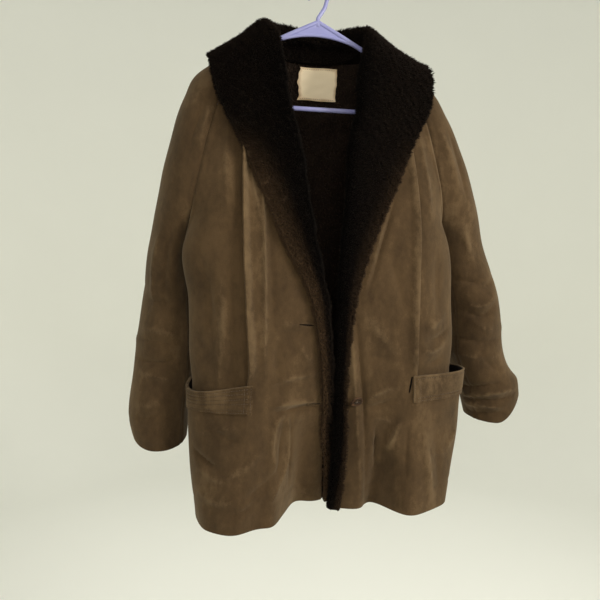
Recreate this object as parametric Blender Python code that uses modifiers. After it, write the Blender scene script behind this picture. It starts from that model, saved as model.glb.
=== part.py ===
"""Suede coat with a long pile collar, hanging open at the front on a tubular hanger.

Metres, +Z up, the front of the coat faces -Y. The origin is the point inside the hook's bow
where the hook rests on its rail. "Right" and "left" are the wearer's, so right is at -X.

Every panel is worked out from horizontal sections. A section runs from the front edge over the
front fold to the side seam, or above the underarm to the raglan seam. Widths in the tables are
distances from the middle of the coat, so one table row serves either side.
"""

import math

import bmesh
import bpy
import numpy as np
from mathutils import Vector

# Cloth and seams
SUEDE_THICK = 0.0020
BAND_THICK = 0.0024
LINING_THICK = 0.0050
COLLAR_THICK = 0.0090
LABEL_THICK = 0.0010
SEAM_GAP = 0.0003
SEAM_SET_BACK = 0.00025

# Heights of the main levels
NECK_Z = -0.115
UNDERARM_Z = -0.445
POCKET_TOP_Z = -0.672
HEM_Z = -0.905
CUFF_Z = {"right": -0.792, "left": -0.788}

# Rows and columns of the panels
UPPER_LEVELS = (
    -0.1235, -0.1340, -0.1451, -0.1550, -0.1680, -0.1900,
    -0.2200, -0.2550, -0.2950, -0.3350, -0.3750, -0.4100,
)
ROWS_TO_POCKET = 6
ROWS_TO_HEM = 5
SLEEVE_ROWS = 11
PULL_ROWS = 3
SLEEVE_STEPS = 19
EDGE_STEPS = 9
FLANK_STEPS = 7
BACK_STEPS = 19
UNDERARM_NOTCH = 0.008
LEVEL_TOLERANCE = 1e-6

# Hanger
TUBE_RADIUS = 0.0040
HOOK_TUBE_RADIUS = 0.0036
HOOK_RADIUS = 0.0175
APEX_Z = -0.055
HOOK_TURN = (-20.0, 215.0)
HOOK_STEPS = 20
HOOK_STEM = np.array([
    (0.000, 0.0, APEX_Z - 0.012),
    (0.000, 0.0, APEX_Z + 0.001),
    (0.005, 0.0, APEX_Z + 0.010),
    (0.012, 0.0, APEX_Z + 0.021),
])
WEB_THICK = 0.0050
WEB_TOP = [(-0.060, -0.0885), (-0.003, -0.0605), (0.003, -0.0605), (0.060, -0.0885)]
ARCH_HALF = 0.060
ARCH_TOP_Z = -0.0815
ARCH_FALL = 4.25
ARCH_STEPS = 13
ARM_STEPS = 28

# Line of one hanger arm, from the apex to the bar (x, z), and the stretch of it that carries cloth
ARM_PATH = np.array([
    (0.000, -0.0590),
    (0.040, -0.0785),
    (0.080, -0.0985),
    (0.120, -0.1185),
    (0.160, -0.1385),
    (0.184, -0.1505),
    (0.199, -0.1650),
    (0.205, -0.1820),
    (0.198, -0.1980),
    (0.180, -0.2065),
    (0.150, -0.2085),
])
CLOTHED_ARM = slice(1, 8)
ARM_CLEARANCE = 0.0007

# Button, label and pocket bands
BUTTON_RADIUS = 0.0110
BUTTON_THICK = 0.0045
BUTTON_Z = -0.708
BUTTON_ACROSS = 0.235
BUTTON_LEAN = 0.70
BUTTON_DROP = (0.45, -0.90)
BUTTON_GAP = 0.00035
BUTTON_STEPS = 24
LABEL_X = 0.013
LABEL_WIDTH = 0.070
LABEL_TOP_Z = -0.126
LABEL_BOTTOM_Z = -0.182
LABEL_ROWS = 4
LABEL_STEPS = 5
BAND_REACH = 1.9
BAND_BOTTOM_Z = -0.718
POCKET_DIP_Z = -0.600
POCKET_TUCK_Z = -0.718
POCKET_DIP = 0.0090
POCKET_GAPE = {"right": 0.012, "left": 0.022}
GAPE_LONG = 0.120
GAPE_SPREAD = 0.72

# Half section of the button: radius and height, as shares of its own
BUTTON_PROFILE = (
    (0.00, 0.55), (0.62, 0.55), (0.80, 1.00), (0.95, 0.90),
    (1.00, 0.60), (0.92, 0.12), (0.70, 0.00), (0.00, 0.00),
)

SIDES = {"right": -1.0, "left": 1.0}

# Sections of a front, from the hem up: front edge, front fold, side of the coat, outer seam
FRONT_COLUMNS = ("z", "edge_x", "edge_y", "fold_x", "fold_y", "side_x", "side_y", "seam_x", "seam_y")
FRONT_SECTIONS = {
    "right": np.array([
        (-0.905, 0.003, -0.038, 0.178, -0.142, 0.228, -0.062, 0.222, 0.000),
        (-0.800, 0.008, -0.062, 0.160, -0.126, 0.237, -0.046, 0.220, 0.000),
        (-0.670, 0.011, -0.088, 0.147, -0.112, 0.234, -0.042, 0.220, 0.000),
        (-0.540, 0.022, -0.094, 0.151, -0.110, 0.233, -0.040, 0.220, 0.002),
        (-0.445, 0.040, -0.090, 0.152, -0.102, 0.236, -0.040, 0.234, 0.000),
        (-0.380, 0.050, -0.084, 0.151, -0.094, 0.198, -0.074, 0.226, -0.045),
        (-0.310, 0.060, -0.075, 0.148, -0.080, 0.184, -0.068, 0.211, -0.054),
        (-0.230, 0.072, -0.058, 0.140, -0.062, 0.166, -0.056, 0.187, -0.049),
        (-0.160, 0.100, -0.040, 0.128, -0.042, 0.142, -0.040, 0.157, -0.037),
        (-0.115, 0.113, -0.022, 0.117, -0.023, 0.119, -0.023, 0.121, -0.022),
    ]),
    "left": np.array([
        (-0.905, 0.006, -0.076, 0.136, -0.140, 0.228, -0.070, 0.222, 0.000),
        (-0.800, 0.018, -0.084, 0.142, -0.124, 0.240, -0.052, 0.222, 0.000),
        (-0.670, 0.018, -0.088, 0.145, -0.112, 0.244, -0.046, 0.224, 0.000),
        (-0.540, 0.021, -0.094, 0.147, -0.110, 0.241, -0.040, 0.222, 0.004),
        (-0.445, 0.029, -0.090, 0.152, -0.102, 0.240, -0.038, 0.234, 0.000),
        (-0.380, 0.036, -0.084, 0.152, -0.094, 0.197, -0.074, 0.224, -0.045),
        (-0.310, 0.046, -0.075, 0.148, -0.080, 0.182, -0.068, 0.207, -0.054),
        (-0.230, 0.060, -0.058, 0.140, -0.062, 0.166, -0.056, 0.187, -0.049),
        (-0.160, 0.100, -0.040, 0.128, -0.042, 0.142, -0.040, 0.157, -0.037),
        (-0.115, 0.113, -0.022, 0.117, -0.023, 0.119, -0.023, 0.121, -0.022),
    ]),
}
SIDE_SHARE = 0.65

# Sections of the back, from the hem up: outer seam, back corner, middle of the back
BACK_COLUMNS = ("z", "seam_x", "seam_y", "corner_x", "corner_y", "middle_y")
BACK_SECTIONS = np.array([
    (-0.905, 0.222, 0.000, 0.186, 0.050, 0.066),
    (-0.800, 0.221, 0.000, 0.182, 0.048, 0.064),
    (-0.670, 0.223, 0.000, 0.180, 0.046, 0.064),
    (-0.540, 0.222, 0.004, 0.174, 0.047, 0.066),
    (-0.445, 0.234, 0.000, 0.176, 0.048, 0.068),
    (-0.405, 0.227, 0.026, 0.156, 0.058, 0.068),
    (-0.360, 0.217, 0.046, 0.130, 0.064, 0.068),
    (-0.300, 0.196, 0.053, 0.110, 0.065, 0.067),
    (-0.230, 0.167, 0.049, 0.090, 0.060, 0.064),
    (-0.160, 0.133, 0.038, 0.070, 0.053, 0.058),
    (-0.115, 0.104, 0.026, 0.056, 0.042, 0.049),
])
BACK_KNOTS = np.array((0.0, 0.22, 0.5, 0.78, 1.0))

# Sections of a sleeve, from the cuff up: centre and half sizes of each oval
SLEEVE_COLUMNS = ("z", "centre_x", "centre_y", "half_width", "half_depth")
SLEEVE_SECTIONS = {
    "right": np.array([
        (-0.792, 0.284, 0.034, 0.052, 0.055),
        (-0.740, 0.283, 0.040, 0.052, 0.057),
        (-0.660, 0.274, 0.047, 0.049, 0.061),
        (-0.543, 0.264, 0.050, 0.043, 0.066),
        (-0.445, 0.258, 0.044, 0.036, 0.070),
        (-0.370, 0.232, 0.028, 0.047, 0.070),
        (-0.270, 0.200, 0.010, 0.056, 0.066),
        (-0.200, 0.174, 0.003, 0.058, 0.055),
        (-0.165, 0.148, 0.000, 0.065, 0.043),
        (-0.115, 0.113, 0.000, 0.016, 0.024),
    ]),
    "left": np.array([
        (-0.788, 0.356, -0.012, 0.053, 0.055),
        (-0.730, 0.352, -0.008, 0.058, 0.058),
        (-0.650, 0.334, 0.002, 0.052, 0.061),
        (-0.550, 0.315, 0.012, 0.052, 0.065),
        (-0.445, 0.288, 0.033, 0.053, 0.068),
        (-0.360, 0.252, 0.016, 0.060, 0.070),
        (-0.290, 0.222, 0.008, 0.062, 0.066),
        (-0.216, 0.185, 0.002, 0.062, 0.056),
        (-0.165, 0.148, 0.000, 0.067, 0.043),
        (-0.115, 0.113, 0.000, 0.016, 0.024),
    ]),
}

# Folds on a front: where they lie across it (0 edge, 1 front fold, 2 seam), from the hem up
FOLD_GROWTH = 1.2
FOLD_COLUMNS = ("across", "width", "bottom_z", "top_z", "depth")
FRONT_FOLDS = {
    "right": np.array([
        (0.25, 0.16, -0.905, -0.680, 0.030),
        (0.68, 0.13, -0.905, -0.740, -0.012),
        (1.45, 0.18, -0.905, -0.730, -0.007),
    ]),
    "left": np.array([
        (0.56, 0.17, -0.905, -0.690, 0.040),
        (0.87, 0.12, -0.905, -0.760, -0.012),
        (1.50, 0.20, -0.905, -0.740, -0.008),
    ]),
}

# Folds on the back, by the distance from its middle
BACK_FOLDS = np.array([
    (-0.095, 0.040, -0.905, -0.420, 0.018),
    (0.010, 0.045, -0.905, -0.520, -0.012),
    (0.105, 0.038, -0.905, -0.450, 0.016),
])

# Width of the collar outside the front edge, by height
LAPEL_WIDTHS = {
    "right": np.array([
        (-0.905, 0.006), (-0.709, 0.008), (-0.610, 0.012), (-0.538, 0.018),
        (-0.448, 0.044), (-0.361, 0.067), (-0.240, 0.100), (-0.200, 0.108),
    ]),
    "left": np.array([
        (-0.905, 0.022), (-0.712, 0.016), (-0.610, 0.019), (-0.540, 0.022),
        (-0.431, 0.050), (-0.312, 0.096), (-0.240, 0.120), (-0.200, 0.128),
    ]),
}
LAPEL_KNOTS = (-0.905, -0.850, -0.780, -0.700, -0.610, -0.530, -0.450, -0.360, -0.260, -0.215)
HEM_RETURN = 0.016
LAPEL_RETURN = 0.040
LAPEL_LIFT = 0.0066
LAPEL_DROP = 0.0086
ROLL_REACH = 0.030
ROLL_HANDLE = 2 / 3

# Collar round the neck, from the front to the middle of the back: outer edge, roll, inner edge (x, y, z)
NECK_ROWS = {
    "right": np.array([
        (0.188, -0.062, -0.192, 0.073, -0.052, -0.160, 0.080, -0.028, -0.168),
        (0.192, -0.026, -0.141, 0.082, -0.044, -0.090, 0.100, -0.008, -0.095),
        (0.182, 0.034, -0.128, 0.086, -0.008, -0.060, 0.092, 0.004, -0.090),
        (0.122, 0.092, -0.136, 0.062, 0.046, -0.048, 0.058, 0.030, -0.096),
        (0.000, 0.110, -0.142, 0.000, 0.068, -0.044, 0.000, 0.046, -0.100),
    ]),
    "left": np.array([
        (0.199, -0.061, -0.190, 0.062, -0.052, -0.160, 0.070, -0.028, -0.168),
        (0.200, -0.022, -0.140, 0.074, -0.044, -0.090, 0.096, -0.008, -0.095),
        (0.186, 0.034, -0.127, 0.082, -0.008, -0.056, 0.090, 0.004, -0.090),
        (0.124, 0.092, -0.138, 0.060, 0.046, -0.048, 0.056, 0.030, -0.096),
        (0.000, 0.110, -0.142, 0.000, 0.068, -0.044, 0.000, 0.046, -0.100),
    ]),
}
COLLAR_ROWS = 26
FALL_STEPS = 5
ROLL_STEPS = 5
RETURN_STEPS = 3

# Finishes: colour, roughness, metallic
SUEDE = ("suede", (0.085, 0.056, 0.032), 0.95, 0.0)
PILE = ("pile", (0.010, 0.007, 0.006), 0.90, 0.0)
WEAVE = ("label_cloth", (0.62, 0.50, 0.36), 0.85, 0.0)
HORN = ("button_horn", (0.030, 0.016, 0.009), 0.35, 0.0)
PLASTIC = ("hanger_plastic", (0.33, 0.33, 0.66), 0.30, 0.0)


def clear_scene():
    """Empties the scene and gives back a collection for the coat and one for cutters."""
    for obj in list(bpy.data.objects):
        bpy.data.objects.remove(obj)
    made = []
    for name in ("suede_coat", "helpers"):
        collection = bpy.data.collections.new(name)
        bpy.context.scene.collection.children.link(collection)
        made.append(collection)
    return made


def finish_material(finish):
    """The material of a finish, made once."""
    name, colour, roughness, metallic = finish
    material = bpy.data.materials.get(name)
    if material is None:
        material = bpy.data.materials.new(name)
        material.use_nodes = True
        shader = material.node_tree.nodes["Principled BSDF"]
        shader.inputs["Base Color"].default_value = (*colour, 1.0)
        shader.inputs["Roughness"].default_value = roughness
        shader.inputs["Metallic"].default_value = metallic
    return material


def spline(knots, values, at):
    """Smooth curve through table rows: cubic pieces whose slopes are the rows' own mean slopes."""
    knots = np.asarray(knots, float)
    values = np.asarray(values, float)
    at = np.clip(at, knots[0], knots[-1])
    slopes = np.gradient(values, knots, axis=0)
    row = np.clip(np.searchsorted(knots, at) - 1, 0, len(knots) - 2)
    step = knots[row + 1] - knots[row]
    share = (at - knots[row]) / step
    extra = (1,) * (values.ndim - 1)
    share = share.reshape(share.shape + extra)
    step = step.reshape(step.shape + extra)
    start = (1 + 2 * share) * (1 - share) ** 2
    leave = share * (1 - share) ** 2
    end = share ** 2 * (3 - 2 * share)
    arrive = share ** 2 * (share - 1)
    return (start * values[row] + leave * step * slopes[row]
            + end * values[row + 1] + arrive * step * slopes[row + 1])


def read_rows(table, names, heights):
    """Each named column of a table at the given heights."""
    found = spline(table[:, 0], table, np.asarray(heights, float))
    return {name: found[:, i] for i, name in enumerate(names)}


def unit(vectors):
    """Vectors of length one."""
    return vectors / np.linalg.norm(vectors, axis=-1, keepdims=True)


def through_three(first, middle, last, share, middle_share):
    """Parabola from first to last that passes middle at middle_share."""
    rest = 1 - middle_share
    control = (middle - rest ** 2 * first - middle_share ** 2 * last) / (2 * middle_share * rest)
    share = share[None, :, None]
    return ((1 - share) ** 2 * first[:, None] + 2 * share * (1 - share) * control[:, None]
            + share ** 2 * last[:, None])


def plan(columns, x_name, y_name):
    """Two columns of a table as points seen from above."""
    return np.stack([columns[x_name], columns[y_name]], axis=-1)


def fold_ridges(folds, across, heights):
    """Depth of the soft folds: rounded ridges that grow from their top down to the hem."""
    depth = np.zeros((len(heights), across.shape[-1]))
    for row in folds:
        fold = dict(zip(FOLD_COLUMNS, row))
        rise = np.clip((fold["top_z"] - heights) / (fold["top_z"] - fold["bottom_z"]), 0, 1)
        ridge = np.exp(-((across - fold["across"]) / fold["width"]) ** 2)
        depth = depth + fold["depth"] * (rise ** FOLD_GROWTH)[:, None] * ridge
    return depth


def grid_normals(points, outward):
    """Unit normals of a grid of points, turned so that they agree with the outward guide."""
    along = np.gradient(points, axis=0)
    across = np.gradient(points, axis=1)
    normals = unit(np.cross(along, across))
    flip = np.sign((normals * outward).sum(-1).mean())
    return normals * flip


def front_grid(side, heights):
    """One front as points: rows by height, columns 0 to 1 edge to fold and 1 to 2 fold to seam."""
    row = read_rows(FRONT_SECTIONS[side], FRONT_COLUMNS, heights)
    edge = plan(row, "edge_x", "edge_y")
    fold = plan(row, "fold_x", "fold_y")
    to_fold = np.linspace(0, 1, EDGE_STEPS)
    to_seam = np.linspace(0, 1, FLANK_STEPS)
    inner = edge[:, None] + (fold - edge)[:, None] * to_fold[None, :, None]
    outer = through_three(fold, plan(row, "side_x", "side_y"), plan(row, "seam_x", "seam_y"),
                          to_seam, SIDE_SHARE)
    flat = np.concatenate([inner, outer[:, 1:]], axis=1)
    across = np.concatenate([to_fold, 1 + to_seam[1:]])
    flat[..., 1] += fold_ridges(FRONT_FOLDS[side], across[None], heights)
    depth = np.broadcast_to(np.asarray(heights)[:, None, None], flat.shape[:2] + (1,))
    points = np.concatenate([flat * (SIDES[side], 1), depth], axis=2)
    return points, across


def back_grid(upper, lower):
    """The back as points, from the right seam to the left one. Below the underarm it meets the fronts."""
    heights = np.concatenate([upper, lower])
    row = read_rows(BACK_SECTIONS, BACK_COLUMNS, heights)
    corner = plan(row, "corner_x", "corner_y")
    middle = np.stack([np.zeros(len(heights)), row["middle_y"]], axis=-1)
    seams = {}
    for side in SIDES:
        seams[side] = plan(row, "seam_x", "seam_y") * (SIDES[side], 1)
        seams[side][len(upper):] = front_grid(side, lower)[0][:, -1, :2]
    stations = np.stack([seams["right"], corner * (-1, 1), middle, corner, seams["left"]], axis=1)
    share = np.linspace(0, 1, BACK_STEPS)
    flat = spline(BACK_KNOTS, stations.transpose(1, 0, 2), share).transpose(1, 0, 2)
    flat[:, 1:-1, 1] += fold_ridges(BACK_FOLDS, flat[..., 0], heights)[:, 1:-1]
    depth = np.broadcast_to(heights[:, None, None], flat.shape[:2] + (1,))
    return np.concatenate([flat, depth], axis=2)


def shoulder_line():
    """Top of the cloth over a hanger arm: the arm's path moved out by its tube, a gap and the suede."""
    step = np.gradient(ARM_PATH, axis=0)
    lift = unit(np.stack([-step[:, 1], step[:, 0]], axis=-1))
    return ARM_PATH + lift * (TUBE_RADIUS + ARM_CLEARANCE + SUEDE_THICK)


def sleeve_grid(side, upper, lower, front_seam, back_seam):
    """A sleeve as points: open arcs above the underarm from seam to seam, full rings below it."""
    heights = np.concatenate([upper, lower])
    row = read_rows(SLEEVE_SECTIONS[side], SLEEVE_COLUMNS, heights)
    centre = plan(row, "centre_x", "centre_y")
    half = plan(row, "half_width", "half_depth")
    on_arm = shoulder_line()[CLOTHED_ARM]
    resting = heights >= on_arm[-1, 1]
    over_arm = np.interp(-heights, -on_arm[:, 1], on_arm[:, 0]) - centre[:, 0]
    half[resting, 0] = np.maximum(half[resting, 0], over_arm[resting])
    count = len(upper)
    start = np.empty(len(heights))
    stop = np.empty(len(heights))
    to_front = (front_seam - centre[:count]) / half[:count]
    to_back = (back_seam - centre[:count]) / half[:count]
    start[:count] = np.arctan2(to_front[:, 1], to_front[:, 0])
    stop[:count] = np.arctan2(to_back[:, 1], to_back[:, 0])
    stop[:count] = np.where(stop[:count] < 0, stop[:count] + 2 * math.pi, stop[:count])
    stop[count - 1] = start[count - 1] + 2 * math.pi
    start[count:] = start[count - 1]
    stop[count:] = stop[count - 1]
    share = np.linspace(0, 1, SLEEVE_STEPS)
    from_front = start[:, None] * (1 - 2 * share)
    to_rear = stop[:, None] * (2 * share - 1)
    turn = np.where(share[None] < 0.5, from_front, to_rear)
    oval = centre[:, None] + half[:, None] * np.stack([np.cos(turn), np.sin(turn)], axis=-1)
    pull_front = np.zeros((len(heights), 2))
    pull_back = np.zeros((len(heights), 2))
    pull_front[:count] = front_seam - oval[:count, 0]
    pull_back[:count] = back_seam - oval[:count, -1]
    pull_end = lower[PULL_ROWS]
    fade = np.clip((heights - pull_end) / (UNDERARM_Z - pull_end), 0, 1)[count:, None]
    pull_front[count:] = pull_front[count - 1] * fade
    pull_back[count:] = pull_back[count - 1] * fade
    near_front = np.clip(1 - 3 * share, 0, 1)[None, :, None] ** 2
    near_back = np.clip(3 * share - 2, 0, 1)[None, :, None] ** 2
    flat = oval + pull_front[:, None] * near_front + pull_back[:, None] * near_back
    depth = np.broadcast_to(heights[:, None, None], flat.shape[:2] + (1,))
    return np.concatenate([flat * (SIDES[side], 1), depth], axis=2)


def set_back(points, normals, column, rows, inward_column):
    """Moves one edge of a panel a little away from the seam, within the cloth."""
    line = points[rows, column]
    along = np.gradient(line, axis=0)
    away = unit(np.cross(normals[rows, column], along))
    inward = points[rows, inward_column] - line
    away = away * np.sign((away * inward).sum(-1, keepdims=True))
    points[rows, column] = line + away * SEAM_SET_BACK


def share_normals(first, first_index, second, second_index):
    """Gives two panels the same normals along their seam, so that their edges are parallel."""
    mean = unit(first[first_index] + second[second_index])
    first[first_index] = mean
    second[second_index] = mean


def wall(name, outer, normals, thickness, finish, collection, keep=None):
    """Closed cloth wall: an outer grid, the same grid moved in by the thickness, and their rims."""
    rows, columns = outer.shape[:2]
    keep = np.ones((rows - 1, columns - 1), bool) if keep is None else keep
    index = np.arange(rows * columns).reshape(rows, columns)
    corners = np.stack([index[:-1, :-1], index[1:, :-1], index[1:, 1:], index[:-1, 1:]], axis=-1)[keep]
    faces = np.concatenate([corners[:, [0, 1, 2]], corners[:, [0, 2, 3]]])
    first = outer.reshape(-1, 3)[faces[0]]
    guide = normals.reshape(-1, 3)[faces[0]].mean(0)
    if np.dot(np.cross(first[1] - first[0], first[2] - first[0]), guide) < 0:
        faces = faces[:, ::-1]
    under = rows * columns
    edges = np.concatenate([faces[:, [i, (i + 1) % 3]] for i in range(3)])
    known = {(a, b) for a, b in edges.tolist()}
    rim = [(a, b) for a, b in edges.tolist() if (b, a) not in known]
    rims = [(b, a, a + under) for a, b in rim] + [(b, a + under, b + under) for a, b in rim]
    points = np.concatenate([outer.reshape(-1, 3), (outer - normals * thickness).reshape(-1, 3)])
    faces = np.concatenate([faces, faces[:, ::-1] + under, np.array(rims)])
    used, faces = np.unique(faces, return_inverse=True)
    mesh = bpy.data.meshes.new(name)
    mesh.from_pydata(points[used].tolist(), [], faces.reshape(-1, 3).tolist())
    mesh.shade_smooth()
    return add_object(name, mesh, finish, collection)


def add_object(name, mesh, finish, collection):
    """Puts a mesh into the scene as a named piece with its finish."""
    mesh.materials.append(finish_material(finish))
    piece = bpy.data.objects.new(name, mesh)
    collection.objects.link(piece)
    return piece


def notch(points, row, column, inward_column):
    """Opens the point where four panels meet at the underarm."""
    step = points[row, inward_column] - points[row, column]
    points[row, column] += step / np.linalg.norm(step) * UNDERARM_NOTCH


def body_heights():
    """Heights of the rows above and below the underarm, with a row at each pocket level."""
    upper = np.array((NECK_Z, *UPPER_LEVELS, UNDERARM_Z))
    levels = (POCKET_TOP_Z, (POCKET_TOP_Z + BAND_BOTTOM_Z) / 2, BAND_BOTTOM_Z)
    lower = np.concatenate([
        np.linspace(UNDERARM_Z, levels[0], ROWS_TO_POCKET + 1)[1:-1], levels,
        np.linspace(levels[-1], HEM_Z, ROWS_TO_HEM + 1)[1:],
    ])
    return upper, lower


def pocket_gape(side, across, heights):
    """How far the lower front stands off the side panel: widest at the side, fading downwards."""
    span = np.clip(across - 1, 0, 1)
    swell = np.sin(np.pi * span * GAPE_SPREAD) ** 2
    fade = np.clip(1 - (POCKET_TOP_Z - heights) / GAPE_LONG, 0, 1) ** 2
    fade = np.where(heights > POCKET_TOP_Z, 1.0, fade)
    return POCKET_GAPE[side] * fade[:, None] * swell[None]


def pocket_dip(heights):
    """How far the side panel sinks behind the lower front at the pocket."""
    share = np.clip((POCKET_DIP_Z - heights) / (POCKET_DIP_Z - POCKET_TOP_Z), 0, 1)
    return POCKET_DIP * share ** 2


def make_side_of_body(side, back, back_normals, upper, lower, collection):
    """Front, side panel, sleeve and pocket band of one side."""
    heights = np.concatenate([upper, lower])
    count = len(upper)
    points, across = front_grid(side, heights)
    outward = np.array((SIDES[side] * 0.5, -1.0, 0.0))
    normals = grid_normals(points, outward)
    back_column = 0 if side == "right" else BACK_STEPS - 1
    back_next = 1 if side == "right" else BACK_STEPS - 2
    flat_side = np.array((SIDES[side], 1.0))
    sleeve = sleeve_grid(side, upper, np.linspace(UNDERARM_Z, CUFF_Z[side], SLEEVE_ROWS)[1:],
                         points[:count, -1, :2] * flat_side, back[:count, back_column, :2] * flat_side)
    sleeve_normals = grid_normals(sleeve, sleeve - sleeve.mean(axis=1, keepdims=True))

    above = slice(0, count)
    below = slice(count, None)
    share_normals(normals, (above, -1), sleeve_normals, (above, 0))
    share_normals(back_normals, (above, back_column), sleeve_normals, (above, -1))
    share_normals(normals, (below, -1), back_normals, (below, back_column))
    share_normals(sleeve_normals, (below, 0), sleeve_normals, (below, -1))
    seams = (
        (points, normals, -1, -2),
        (back, back_normals, back_column, back_next),
        (sleeve, sleeve_normals, 0, 1),
        (sleeve, sleeve_normals, -1, -2),
    )
    for grid, grid_out, column, inward in seams:
        set_back(grid, grid_out, column, slice(None), inward)
        notch(grid, count - 1, column, inward)

    fold_column = EDGE_STEPS - 1
    pocket_row = int(np.abs(heights - POCKET_TOP_Z).argmin())
    keep = np.ones((len(heights) - 1, points.shape[1] - 1), bool)
    keep[:pocket_row, fold_column:] = False
    front = points.copy()
    lower_front = heights <= POCKET_TOP_Z + LEVEL_TOLERANCE
    gape = pocket_gape(side, across, heights) * lower_front[:, None]
    front += normals * gape[..., None]
    set_back(front, normals, fold_column, slice(0, pocket_row + 1), fold_column - 1)
    wall(f"front_{side}", front, normals, SUEDE_THICK, SUEDE, collection, keep)

    last = int(np.abs(heights - POCKET_TUCK_Z).argmin()) + 1
    flank_normals = normals[:last, fold_column:]
    dip = pocket_dip(heights[:last])[:, None, None]
    flank = points[:last, fold_column:] - flank_normals * dip
    set_back(flank, flank_normals, 0, slice(None), 1)
    wall(f"side_{side}", flank, flank_normals, SUEDE_THICK, SUEDE, collection)

    wall(f"sleeve_{side}", sleeve, sleeve_normals, SUEDE_THICK, SUEDE, collection)
    make_pocket_band(side, front, normals, across, heights, collection)


def make_pocket_band(side, front, normals, across, heights, collection):
    """Band along the pocket's mouth: the lower front's points, moved out."""
    rows = (heights <= POCKET_TOP_Z + LEVEL_TOLERANCE) & (heights >= BAND_BOTTOM_Z - LEVEL_TOLERANCE)
    columns = (across >= 1.0) & (across <= BAND_REACH)
    points = front[rows][:, columns]
    out = normals[rows][:, columns]
    wall(f"pocket_band_{side}", points + out * (SEAM_GAP + BAND_THICK), out, BAND_THICK, SUEDE, collection)


def lapel_knots(side):
    """Corners of the collar's section along the front: outer edge, both ends of the roll, inner edge."""
    heights = np.array(LAPEL_KNOTS)
    points, _ = front_grid(side, heights)
    edge = points[:, 0, :2] * (SIDES[side], 1)
    along = unit(points[:, 1, :2] * (SIDES[side], 1) - edge)
    out = np.stack([along[:, 1], -along[:, 0]], axis=-1)
    width = spline(LAPEL_WIDTHS[side][:, 0], LAPEL_WIDTHS[side][:, 1], heights)[:, None]
    reach = np.interp(heights, (HEM_Z, UNDERARM_Z), (HEM_RETURN, LAPEL_RETURN))[:, None]
    corners = (edge + along * width + out * LAPEL_LIFT, edge + out * LAPEL_LIFT,
               edge - out * LAPEL_DROP, edge + along * reach - out * LAPEL_DROP)
    return [np.concatenate([corner, heights[:, None]], axis=1) for corner in corners]


def neck_knots(side):
    """The same corners round the neck, with the roll opened enough for the pile's thickness."""
    outer, roll, inner = np.split(NECK_ROWS[side], 3, axis=1)
    to_outer = unit(outer - roll)
    to_inner = unit(inner - roll)
    spread = np.linalg.norm(to_outer - to_inner, axis=1, keepdims=True)
    reach = np.minimum((LAPEL_LIFT + LAPEL_DROP) / spread, ROLL_REACH)
    return [outer, roll + to_outer * reach, roll + to_inner * reach, inner]


def collar_grid(side):
    """Half of the collar as its middle surface, from the hem to the middle of the back."""
    corners = [np.concatenate(pair) for pair in zip(lapel_knots(side), neck_knots(side))]
    middle = (corners[1] + corners[2]) / 2
    path = np.concatenate([[0], np.cumsum(np.linalg.norm(np.diff(middle, axis=0), axis=1))])
    at = np.linspace(0, path[-1], COLLAR_ROWS)
    outer, start, stop, inner = (spline(path, corner, at)[:, None] for corner in corners)
    fall = outer + (start - outer) * np.linspace(0, 1, FALL_STEPS)[None, :, None]
    back = stop + (inner - stop) * np.linspace(0, 1, RETURN_STEPS)[None, :, None]
    turn = np.linspace(0, 1, ROLL_STEPS + 2)[None, 1:-1, None]
    handle = ROLL_HANDLE * np.linalg.norm(start - stop, axis=2, keepdims=True)
    leave = start + unit(start - outer) * handle
    arrive = stop + unit(stop - inner) * handle
    roll = ((1 - turn) ** 3 * start + 3 * turn * (1 - turn) ** 2 * leave
            + 3 * turn ** 2 * (1 - turn) * arrive + turn ** 3 * stop)
    return np.concatenate([fall, roll, back], axis=1) * (SIDES[side], 1, 1)


def make_collar(collection):
    """Both halves of the collar, which meet at the middle of the back."""
    for side in SIDES:
        points = collar_grid(side)
        points[-1, :, 0] = SIDES[side] * SEAM_GAP / 2
        outward = points - points[:, FALL_STEPS + ROLL_STEPS + 1][:, None]
        normals = grid_normals(points, outward)
        normals[-1, :, 0] = 0
        normals[-1] = unit(normals[-1])
        outer = points + normals * COLLAR_THICK / 2
        wall(f"collar_{side}", outer, normals, COLLAR_THICK, PILE, collection)


def make_back(points, normals, collection):
    """The back, its pile lining and the label sewn to the lining."""
    wall("back", points, normals, SUEDE_THICK, SUEDE, collection)
    reach = slice(1, BACK_STEPS - 1)
    face = points[:, reach] - normals[:, reach] * (SUEDE_THICK + SEAM_GAP)
    wall("lining_back", face, normals[:, reach], LINING_THICK, PILE, collection)
    return face - normals[:, reach] * LINING_THICK, normals[:, reach]


def make_label(face, normals, collection):
    """Woven label on the lining below the neck."""
    heights = np.linspace(LABEL_TOP_Z, LABEL_BOTTOM_Z, LABEL_ROWS)
    across = LABEL_X + np.linspace(-LABEL_WIDTH / 2, LABEL_WIDTH / 2, LABEL_STEPS)
    rising = face[::-1]
    columns = [spline(rising[:, i, 2], rising[:, i], heights) for i in range(face.shape[1])]
    rows = np.stack(columns, axis=1)
    points = np.stack([
        np.stack([np.interp(across, row[:, 0], row[:, k]) for k in range(3)], axis=-1) for row in rows
    ])
    guide = grid_normals(points, normals.mean(axis=(0, 1)))
    outer = points - guide * SEAM_GAP * 2
    wall("label", outer, guide, LABEL_THICK, WEAVE, collection)


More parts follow.
